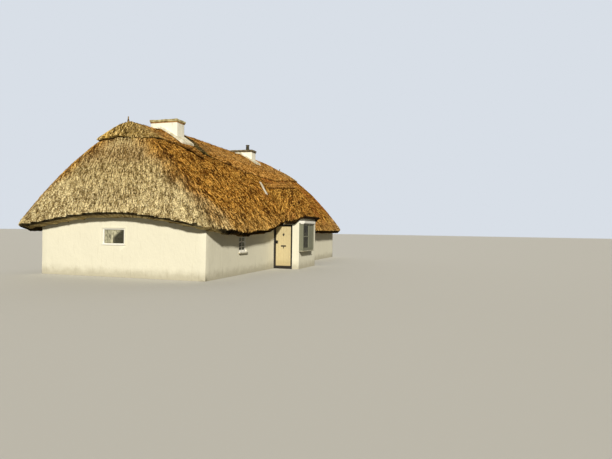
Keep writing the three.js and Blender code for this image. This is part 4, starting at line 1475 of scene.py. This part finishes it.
class Joiner:
    """Makes boards and bars with eased edges, and joins them into one piece."""

    def __init__(self, name: str, ease: float = 0.004) -> None:
        """Starts a piece.

        Args:
            name: Its name.
            ease: How far its edges are eased, in metres.
        """
        self.name = name
        self.ease = ease
        self.bars: list[bpy.types.Object] = []

    def bar(self, low: Sequence[float], high: Sequence[float]) -> bpy.types.Object:
        """Adds a straight bar.

        Args:
            low: One corner.
            high: The opposite corner.

        Returns:
            The bar.
        """
        corners = [sorted(pair) for pair in zip(low, high)]
        made = Bench.start(self.name, bpy.ops.mesh.primitive_cube_add, size=1.0,
                           location=[(a + b) / 2 for a, b in corners], scale=[b - a for a, b in corners])
        with Bench.editing("EDGE"):
            bpy.ops.mesh.bevel(offset=self.ease, segments=2, affect="EDGES")
        self.bars.append(made)
        return made

    def hand_over(self, finish: Finish, slot: str, body: str = HOUSE, stands_for: Sequence[str] = ()) -> None:
        """Joins the bars and hands the piece over.

        Args:
            finish: Its finish.
            slot: The record's slot.
            body: The body it rides on.
            stands_for: The CAD nodes it replaces.
        """
        Bench.hand_over(Bench.join(self.name, *self.bars), finish, slot, body, stands_for)


class Facing(Enum):
    """The way a window looks, as the axis it looks along and the sign."""

    FRONT = (0, 1)
    BACK = (0, -1)
    NEAR = (1, -1)
    FAR = (1, 1)

    @property
    def axis(self) -> int:
        """The axis it looks along."""
        return self.value[0]

    @property
    def run(self) -> int:
        """The axis along its wall."""
        return 1 - self.value[0]

    @property
    def sign(self) -> int:
        """The sign of the way it looks."""
        return self.value[1]


class Pane:
    """The glass of a window, and the woodwork that is laid over it."""

    def __init__(self, place: str, facing: Facing) -> None:
        """Measures the glass and starts the woodwork.

        Args:
            place: The first part of the window's CAD nodes' names.
            facing: The way the window looks.
        """
        self.joiner = Joiner(f"{place}_sashes")
        self.facing = facing
        self.low, self.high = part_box(f"{place}_glass")
        self.width = self.high[facing.run] - self.low[facing.run]

    def lay(self, start: tuple[float, float], end: tuple[float, float], proud: float) -> None:
        """Lays a bar over the glass.

        Args:
            start: Its share along the opening and its height at one corner.
            end: The same at the other.
            proud: How far it stands out of the glass on each side.
        """
        run, axis = self.facing.run, self.facing.axis
        corners = []
        for (share, height), reach in ((start, -proud), (end, proud)):
            spot = [0.0, 0.0, height]
            spot[run] = self.low[run] + self.width * share
            spot[axis] = (self.low[axis] + self.high[axis]) / 2 + reach
            corners.append(spot)
        self.joiner.bar(*corners)


@dataclass
class Window:
    """The sashes and bars inside a window's frame.

    Attributes:
        place: The first part of its CAD nodes' names.
        facing: The way it looks.
        rails: Heights of the cross rails, as shares of the opening.
        stiles: Places of the upright bars, as shares of the opening.
        sash: How wide the sash's members are.
        bar: How wide a bar is.
        rail: How wide the meeting rail is, or 0 for none; it is the first of the rails.
        sill: How far the sill stands out, or 0 for none.
        sash_proud: How far the sash's members stand out of the glass on each side.
        rail_proud: How far a cross rail stands out.
        stile_proud: How far an upright bar stands out.
        lap: How far the sash laps over the frame above and below.
        sill_overhang: How far the sill runs past the frame at each end.
        sill_tall: How tall the sill is.
    """

    place: str
    facing: Facing
    rails: tuple[float, ...] = ()
    stiles: tuple[float, ...] = ()
    sash: float = 0.042
    bar: float = 0.022
    rail: float = 0.0
    sill: float = 0.0
    sash_proud: float = 0.02
    rail_proud: float = 0.016
    stile_proud: float = 0.014
    lap: float = 0.004
    sill_overhang: float = 0.03
    sill_tall: float = 0.045

    def build(self) -> None:
        """Builds the sashes, and the sill if there is one."""
        pane = Pane(self.place, self.facing)
        low, high = pane.low.z, pane.high.z
        share = self.sash / pane.width
        pane.lay((0.0, low - self.lap), (1.0, low + self.sash * 1.3), self.sash_proud)
        pane.lay((0.0, high - self.sash), (1.0, high + self.lap), self.sash_proud)
        pane.lay((0.0, low), (share, high), self.sash_proud)
        pane.lay((1.0 - share, low), (1.0, high), self.sash_proud)
        for number, height in enumerate(self.rails):
            half = (self.rail if self.rail and number == 0 else self.bar) / 2
            middle = low + (high - low) * height
            pane.lay((0.0, middle - half), (1.0, middle + half), self.rail_proud)
        for middle in self.stiles:
            half = self.bar / 2 / pane.width
            pane.lay((middle - half, low), (middle + half, high), self.stile_proud)
        pane.joiner.hand_over(KIT.white_paint, "white_paint")
        if self.sill:
            self.lay_sill()

    def lay_sill(self) -> None:
        """Lays the sill under the frame, with an eased nose."""
        low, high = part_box(f"{self.place}_frame")
        run, axis, sign = self.facing.run, self.facing.axis, self.facing.sign
        outer = high[axis] if sign > 0 else low[axis]
        start, end = [0.0, 0.0, low.z - self.sill_tall], [0.0, 0.0, low.z + self.lap]
        start[run], end[run] = low[run] - self.sill_overhang, high[run] + self.sill_overhang
        start[axis], end[axis] = outer - sign * 0.05, outer + sign * self.sill
        joiner = Joiner(f"{self.place}_sill", 0.012)
        joiner.bar(start, end)
        joiner.hand_over(KIT.sill_stone, "cement")


@dataclass
class Bay:
    """The shallow bay window of the porch: its sashes, boards, mouldings and sill.

    Attributes:
        mullion: Where the middle mullion stands, as a share of the width.
        mullion_half: Half the width of the mullion.
        stile: How wide the sash's uprights are, and its head.
        foot_rail: How tall the sash's lowest rail is.
        rail_share: Where the meeting rail crosses, as a share of the height.
        rail_half: Half the height of the meeting rail.
        boards: How many boards close the far half.
        board_gap: How far they stand apart.
        sill_overhang: How far the sill runs past the frame at each end.
    """

    mullion: float = 0.58
    mullion_half: float = 0.045
    stile: float = 0.05
    foot_rail: float = 0.07
    rail_share: float = 0.52
    rail_half: float = 0.022
    boards: int = 4
    board_gap: float = 0.006
    sill_overhang: float = 0.02

    def build(self) -> None:
        """Builds the woodwork of the bay."""
        self.build_sashes()
        self.build_mouldings()
        self.lay_sill()

    def build_sashes(self) -> None:
        """Builds the near sash, the mullion and the upright boards that close the far half."""
        low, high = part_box("bay_window_glass")
        glass = (low.x + high.x) / 2
        centre = low.y + (high.y - low.y) * self.mullion
        rail = low.z + (high.z - low.z) * self.rail_share
        start, end = low.y, centre - self.mullion_half
        first_board = centre + self.mullion_half
        members = [
            ((-0.03, end, low.z), (0.034, first_board, high.z)),
            ((-0.02, start, low.z), (0.02, start + self.stile, high.z)),
            ((-0.02, end - self.stile, low.z), (0.02, end, high.z)),
            ((-0.018, start, low.z), (0.02, end, low.z + self.foot_rail)),
            ((-0.018, start, high.z - self.stile), (0.02, end, high.z)),
            ((-0.016, start, rail - self.rail_half), (0.024, end, rail + self.rail_half)),
        ]
        pitch = (high.y - first_board) / self.boards
        for number in range(self.boards):
            near = first_board + number * pitch
            members.append(((0.006, near, low.z), (0.024, near + pitch - self.board_gap, high.z)))
        joiner = Joiner("bay_window_sashes")
        for inner, outer in members:
            joiner.bar((glass + inner[0], *inner[1:]), (glass + outer[0], *outer[1:]))
        joiner.hand_over(KIT.grey_paint, "grey_paint")

    def build_mouldings(self) -> None:
        """Builds the two steps of moulding under the cornice, and the corner boards."""
        low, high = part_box("bay_window_frame")
        back = high.x - 0.12
        upper = Joiner("bay_window_bed_mould", 0.006)
        upper.bar((back, low.y - 0.038, high.z - 0.036), (high.x + 0.036, high.y + 0.038, high.z - 0.002))
        upper.hand_over(KIT.white_paint, "grey_paint")
        lower = Joiner("bay_window_mouldings", 0.006)
        lower.bar((back, low.y - 0.02, high.z - 0.07), (high.x + 0.018, high.y + 0.02, high.z - 0.035))
        foot, head, face = low.z + 0.05, high.z - 0.07, high.x + 0.012
        for edge, out in ((low.y, -1), (high.y, 1)):
            corner = edge + out * 0.014
            lower.bar((high.x - 0.075, edge, foot), (face, corner, head))
            lower.bar((high.x - 0.002, edge - out * 0.055, foot), (face, corner, head))
        lower.hand_over(KIT.grey_paint, "grey_paint")

    def lay_sill(self) -> None:
        """Lays the sill between the frame's foot and the wall."""
        low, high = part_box("bay_window_frame")
        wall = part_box("porch_front_wall")[1].x + 0.003
        joiner = Joiner("bay_window_sill", 0.012)
        joiner.bar((wall, low.y - self.sill_overhang, low.z - 0.04),
                   (high.x + 0.045, high.y + self.sill_overhang, low.z - 0.002))
        joiner.hand_over(KIT.sill_stone, "grey_paint")


@dataclass
class FrontDoor:
    """The boarded door with its fittings.

    Attributes:
        boards: How many boards the door has.
        groove: How wide the gap between two boards is.
        face: How thick the boards are, out of the leaf's whole thickness.
        thickness: The leaf's whole thickness.
        ledges: The heights of the feet of its inner ledges above the foot of the leaf.
        ledge_tall: How tall a ledge is.
        ledge_inset: How far a ledge ends before the leaf's sides.
        knuckle: The radius of its hinge knuckles, which stand out of the leaf.
        hinge_gap: How far the leaf ends before the axis of its hinges.
        hinge_heights: The heights of the middles of its hinges above the foot of the leaf.
        hinge_tall: How tall a hinge is.
    """

    boards: int = 6
    groove: float = 0.005
    face: float = 0.022
    thickness: float = 0.044
    ledges: tuple[float, ...] = (0.2, 0.95, 1.68)
    ledge_tall: float = 0.12
    ledge_inset: float = 0.03
    knuckle: float = 0.008
    hinge_gap: float = 0.003
    hinge_heights: tuple[float, ...] = (0.253, 1.573)
    hinge_tall: float = 0.08

    def build(self) -> None:
        """Builds the leaf and what is fixed to it."""
        low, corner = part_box("door_leaf")
        axis = (corner.x - self.knuckle, corner.y - self.knuckle)
        high = Vector((axis[0] - self.hinge_gap, low.y + self.thickness, corner.z))
        back = low.y + self.face
        joiner = Joiner("door_boards")
        width = (high.x - low.x) / self.boards
        for number in range(self.boards):
            start = low.x + number * width + self.groove / 2
            joiner.bar((start, low.y, low.z), (start + width - self.groove, back, high.z))
        joiner.bar((low.x + 0.002, back - 0.004, low.z), (high.x - 0.002, low.y + 0.034, high.z))
        for height in self.ledges:
            joiner.bar((low.x + self.ledge_inset, low.y + 0.03, low.z + height),
                       (high.x - self.ledge_inset, high.y, low.z + height + self.ledge_tall))
        joiner.bar((low.x + 0.01, low.y - 0.012, low.z + 0.012),
                   (high.x - 0.01, low.y + 0.004, low.z + 0.085))
        joiner.hand_over(KIT.cream_paint, "cream_paint", DOOR, ("door_leaf",))
        self.hang_fittings(low)
        self.set_hinges(axis, low.z)

    def hang_fittings(self, leaf: Vector) -> None:
        """Hangs the knocker's drop and the pull under the letter plate, and sets the knob's plate.

        Args:
            leaf: The low corner of the leaf.
        """
        low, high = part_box("door_knocker")
        self.hang_drop("door_knocker_drop", Vector(((low.x + high.x) / 2, low.y, low.z + 0.045)), 0.03)
        low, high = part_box("door_letterplate")
        self.hang_drop("door_pull", Vector(((low.x + high.x) / 2, low.y - 0.004, low.z - 0.03)), 0.024)
        low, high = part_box("door_knob")
        plate = Joiner("door_knob_plate", 0.003)
        plate.bar((leaf.x + 0.004, leaf.y - 0.006, low.z - 0.05),
                  (high.x + 0.006, leaf.y + 0.002, high.z + 0.05))
        plate.hand_over(KIT.black_iron, "black_iron", DOOR)

    @staticmethod
    def hang_drop(name: str, middle: Vector, radius: float) -> None:
        """Hangs an iron drop that tapers towards its top.

        Args:
            name: The name of the piece.
            middle: The middle of its belly.
            radius: How thick its belly is, across half its width.
        """
        drop = Bench.start(name, bpy.ops.mesh.primitive_uv_sphere_add, segments=16, ring_count=10,
                           radius=radius, location=middle, scale=(1.0, 0.55, 2.2))
        with Bench.choosing(drop, "VERT", [vertex.co.z > middle.z for vertex in drop.data.vertices]):
            bpy.ops.transform.resize(value=(0.55, 0.8, 1.0), center_override=middle)
        bpy.ops.object.shade_smooth()
        Bench.hand_over(drop, KIT.black_iron, "black_iron", DOOR)

    def set_hinges(self, axis: tuple[float, float], foot: float) -> None:
        """Sets the hinge knuckles on the axis the door turns about.

        Args:
            axis: The place of that axis, across the house and along it.
            foot: The height of the foot of the leaf.
        """
        knuckles = []
        third = self.hinge_tall / 3
        for height in self.hinge_heights:
            for part in range(-1, 2):
                knuckles.append(Bench.start(
                    "knuckle", bpy.ops.mesh.primitive_cylinder_add, vertices=14, radius=self.knuckle,
                    depth=third - 0.002, location=(*axis, foot + height + part * third)))
                with Bench.editing("EDGE"):
                    bpy.ops.mesh.bevel(offset=0.0015, segments=1, affect="EDGES")
        Bench.hand_over(Bench.join("door_hinges", *knuckles), KIT.black_iron, "black_iron", DOOR)


@dataclass
class Masonry:
    """A wall or stack of plastered stone: slightly uneven, with softened arrises.

    Attributes:
        node: The CAD node it replaces.
        finish: Its finish.
        slot: The record's slot.
        pitch: How far apart its faces are divided.
        wave: How uneven they are.
        arris: How far its upright arrises are rounded.
        openings: The CAD nodes of frames near which the faces stay true.
        neighbours: The CAD nodes of the walls it runs into, where its arrises stay sharp.
        joint: How wide the joint between two walls may be.
        flat_within: The angle under which two faces are taken for one, in degrees.
        smooth_within: The angle under which an edge is shaded smooth, in degrees.
    """

    node: str
    finish: Finish
    slot: str = "limewash"
    pitch: float = 0.3
    wave: float = 0.014
    arris: float = 0.022
    openings: tuple[str, ...] = ()
    neighbours: tuple[str, ...] = ()
    joint: float = 0.003
    flat_within: float = 0.5
    smooth_within: float = 35.0

    def build(self) -> None:
        """Builds the wall."""
        piece = Bench.copy(f"{self.node}_plaster", self.node)
        with Bench.editing("FACE"):
            bpy.ops.mesh.dissolve_limited(angle_limit=math.radians(self.flat_within))
        self.round_arrises(piece)
        low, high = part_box(self.node)
        for axis in range(3):
            count = max(1, round((high[axis] - low[axis]) / self.pitch))
            Bench.divide(piece, axis, low[axis], high[axis], count)
        self.weather(piece)
        Bench.pick(piece)
        bpy.ops.object.shade_smooth_by_angle(angle=math.radians(self.smooth_within))
        Bench.hand_over(piece, self.finish, self.slot, stands_for=(self.node,))

    def round_arrises(self, piece: bpy.types.Object) -> None:
        """Rounds the long upright edges.

        Args:
            piece: The wall.
        """
        spots = [vertex.co for vertex in piece.data.vertices]
        upright = []
        for edge in piece.data.edges:
            foot = spots[edge.vertices[0]]
            along = spots[edge.vertices[1]] - foot
            tall = abs(along.z) > 0.5 and abs(along.x) + abs(along.y) < 0.002
            upright.append(tall and not self.meets(foot))
        with Bench.choosing(piece, "EDGE", upright):
            bpy.ops.mesh.bevel(offset=self.arris, segments=3, affect="EDGES", clamp_overlap=True)

    def meets(self, spot: Vector) -> bool:
        """Tells whether a point of the wall lies against one that it runs into.

        Args:
            spot: The point.

        Returns:
            Whether it does.
        """
        boxes = (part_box(node) for node in self.neighbours)
        return any(all(low[axis] - self.joint < spot[axis] < high[axis] + self.joint for axis in range(2))
                   for low, high in boxes)

    def weather(self, piece: bpy.types.Object) -> None:
        """Makes the faces uneven, away from the ground and the openings.

        Args:
            piece: The wall.
        """
        graph = GeometryGraph("weather")
        spot = graph.parts(graph.place())
        keep = spot[2].step(0.02, 0.2)
        for opening in self.openings:
            low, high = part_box(opening)
            centre, reach = (low + high) / 2, (high - low) / 2
            off = [abs(spot[axis] - centre[axis]) - reach[axis] for axis in range(3)]
            keep = keep * off[0].most(off[1]).most(off[2]).step(0.02, 0.3)
        graph.push(piece, (graph.noise(0.9, 3.0) - 0.5) * (self.wave * 2.0) * keep)


@dataclass
class Chimney:
    """A chimney: its rendered stack, its slab and the course below it.

    Attributes:
        place: near or far.
        slab: The finish of the slab.
        course: The finish of the course.
        course_height: How tall the course is.
        course_out: How far it stands out of the stack.
        slab_ease: How far the slab's edges are worn.
        slab_parts: How many parts the slab is divided into, across the house and along it.
        chips: How deep its chips are.
    """

    place: str
    slab: Finish
    course: Finish
    course_height: float = 0.035
    course_out: float = 0.022
    slab_ease: float = 0.018
    slab_parts: tuple[int, int] = (12, 6)
    chips: float = 0.07

    def build(self) -> None:
        """Builds the pieces of the chimney."""
        stack = f"{self.place}_chimney_stack"
        Masonry(stack, KIT.chimney_render, "chimney_render", pitch=0.16, wave=0.01, arris=0.03).build()
        self.build_slab()
        low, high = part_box(stack)
        out = self.course_out
        joiner = Joiner(f"{self.place}_chimney_course", 0.012)
        joiner.bar((low.x - out, low.y - out, high.z - self.course_height),
                   (high.x + out, high.y + out, high.z - 0.001))
        joiner.hand_over(self.course, "chimney_slab")

    def build_slab(self) -> None:
        """Builds the slab, worn and chipped."""
        low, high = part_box(f"{self.place}_chimney_cap")
        joiner = Joiner(f"{self.place}_chimney_slab", self.slab_ease)
        slab = joiner.bar(low, high)
        for axis, count in enumerate(self.slab_parts):
            Bench.divide(slab, axis, low[axis], high[axis], count)
        graph = GeometryGraph("chip")
        graph.push(slab, (graph.noise(0.14, 3.0) - 0.62).least(0.0) * self.chips)
        joiner.hand_over(self.slab, "chimney_slab", stands_for=(f"{self.place}_chimney_cap",))


@dataclass(frozen=True)
class Lamp:
    """A far light.

    Attributes:
        name: Its name.
        energy: How strong it is.
        spread: How wide it is, as an angle in radians; wide lights throw soft shadows.
        tint: Its colour.
        bearing: How far it stands from -Y towards +X, in degrees.
        height: How high it stands, in degrees.
    """

    name: str
    energy: float
    spread: float
    tint: Point
    bearing: float
    height: float

    def hang(self) -> None:
        """Hangs the light."""
        sun = bpy.data.lights.new(self.name, "SUN")
        sun.energy = self.energy
        sun.angle = self.spread
        sun.color = self.tint
        lamp = bpy.data.objects.new(self.name, sun)
        turn, rise = math.radians(self.bearing), math.radians(self.height)
        towards = Vector((math.sin(turn) * math.cos(rise), -math.cos(turn) * math.cos(rise), math.sin(rise)))
        lamp.rotation_euler = towards.to_track_quat("Z", "Y").to_euler()
        bpy.context.scene.collection.objects.link(lamp)


@dataclass
class Studio:
    """The floor, the light and the camera.

    Attributes:
        eye: Where the camera stands.
        heading: How far it looks left of +Y, in radians.
        roll: How far it leans.
        lens: Its focal length, in millimetres.
        sensor: How wide its sensor is, in millimetres.
        lamps: A low, soft main light, and a weak one behind the cottage.
        surround: How strongly the pale surrounding lights the cottage.
        surround_tint: The colour of that light.
        backdrop: How bright the surrounding looks behind it.
        backdrop_tint: The colour that it shows.
        floor_size: How wide the floor is.
        floor_drop: How far it lies under the ground line.
    """

    eye: Point = (11.89, -24.47, 1.85)
    heading: float = math.atan2(0.294, 0.956)
    roll: float = 0.015
    lens: float = 29.41
    sensor: float = 36.0
    lamps: tuple[Lamp, ...] = (
        Lamp("main_light", 3.85, 0.08, (1.0, 0.95, 0.83), 28.0, 26.0),
        Lamp("fill_light", 1.3, 1.6, (1.0, 0.97, 0.9), 208.0, 24.0),
    )
    surround: float = 0.1
    surround_tint: Colour = (1.0, 0.94, 0.84, 1.0)
    backdrop: float = 0.8
    backdrop_tint: Colour = (0.86, 0.92, 1.0, 1.0)
    floor_size: float = 400.0
    floor_drop: float = 0.002

    def build(self) -> None:
        """Sets up the floor, the light and the camera."""
        floor = Bench.start("studio_floor", bpy.ops.mesh.primitive_plane_add, size=self.floor_size,
                            location=(0.0, 0.0, -self.floor_drop))
        Bench.coat(floor, Backdrop("studio_floor"))
        for lamp in self.lamps:
            lamp.hang()
        self.surround_it()
        self.stand_camera()

    def surround_it(self) -> None:
        """Puts a pale surrounding round the cottage, which looks brighter than it lights."""
        world = bpy.data.worlds.new("surrounding")
        world.use_nodes = True
        graph = Graph(world.node_tree)
        seen = Value(graph, graph.node("ShaderNodeLightPath").outputs["Is Camera Ray"])
        strength = seen * (self.backdrop - self.surround) + self.surround
        tint = graph.blend(self.surround_tint, self.backdrop_tint, seen)
        sky = graph.node("ShaderNodeBackground", None, {"Color": tint, "Strength": strength})
        graph.node("ShaderNodeOutputWorld", None, {"Surface": sky.outputs[0]})
        bpy.context.scene.world = world
        bpy.context.scene.view_settings.view_transform = "Standard"

    def stand_camera(self) -> None:
        """Stands the camera where the photograph was taken."""
        lens = bpy.data.cameras.new("camera")
        lens.sensor_width = self.sensor
        lens.lens = self.lens
        camera = bpy.data.objects.new("camera", lens)
        camera.location = self.eye
        level = Euler((math.pi / 2, 0.0, self.heading)).to_quaternion()
        camera.rotation_euler = (level @ Quaternion((0.0, 0.0, 1.0), self.roll)).to_euler()
        bpy.context.scene.collection.objects.link(camera)
        bpy.context.scene.camera = camera


NODE_FINISHES = {
    KIT.limewash: ("near_end_window_surround",),
    KIT.cement: ("floor_slab", "porch_floor"),
    KIT.cement_fillet: ("near_chimney_fillet", "far_chimney_fillet"),
    KIT.clay_pot: ("far_chimney_pot",),
    KIT.black_paint: ("door_frame",),
    KIT.white_paint: ("near_end_window_frame", "far_end_window_frame", "back_window_near_frame",
                      "back_window_far_frame", "front_sash_near_frame", "front_sash_far_frame",
                      "bay_window_cornice"),
    KIT.grey_paint: ("bay_window_frame",),
    KIT.black_iron: ("door_knob", "door_knocker", "door_letterplate"),
    KIT.curtained_glass: ("near_end_window_glass",),
    KIT.window_glass: ("far_end_window_glass", "back_window_near_glass",
                       "back_window_far_glass", "front_sash_near_glass", "front_sash_far_glass"),
    KIT.bay_glass: ("bay_window_glass",),
}

WALL_FRAMES = {
    "near_end_wall": ("near_end_window_frame",),
    "far_end_wall": ("far_end_window_frame",),
    "back_wall": ("back_window_near_frame", "back_window_far_frame"),
    "front_wall_near": ("front_sash_near_frame", "door_frame"),
    "front_wall_far": ("front_sash_far_frame",),
    "front_wall_over_doorway": (),
    "porch_far_wall": (),
    "porch_front_wall": ("bay_window_frame",),
    "porch_wall_beside_door": ("door_frame", "bay_window_frame"),
    "porch_wall_over_door": ("door_frame",),
}


@dataclass
class Cottage:
    """The whole cottage, sub-assembly by sub-assembly."""

    def build(self) -> None:
        """Builds everything that the CAD nodes alone don't show."""
        for finish, nodes in NODE_FINISHES.items():
            for node in nodes:
                Bench.coat(bpy.data.objects[node], finish)
        PorchRoof().build(Roof().build())
        Finial("near_finial").build()
        Finial("far_finial").build()
        Chimney("near", KIT.chimney_slab, KIT.rust_course).build()
        Chimney("far", KIT.dark_slab, KIT.dark_slab).build()
        for node, frames in WALL_FRAMES.items():
            others = tuple(name for name in WALL_FRAMES if name != node)
            Masonry(node, KIT.limewash, openings=frames, neighbours=others).build()
        self.build_windows()
        Bay().build()
        FrontDoor().build()

    @staticmethod
    def build_windows() -> None:
        """Builds the sashes of every window but the bay."""
        for place, facing in (("near_end_window", Facing.NEAR), ("far_end_window", Facing.FAR)):
            Window(place, facing, sash=0.012).build()
        for place in ("front_sash_near", "front_sash_far"):
            Window(place, Facing.FRONT, (0.52, 0.24, 0.77), (0.5,), rail=0.04, sill=0.05).build()
        for place in ("back_window_near", "back_window_far"):
            Window(place, Facing.BACK, (0.5,), (0.5,), sill=0.05).build()


def main() -> None:
    """Builds the cottage around its frame."""
    logging.basicConfig(level=logging.INFO, format="%(message)s")
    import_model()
    Studio().build()
    Cottage().build()


if __name__ == "__main__":
    main()
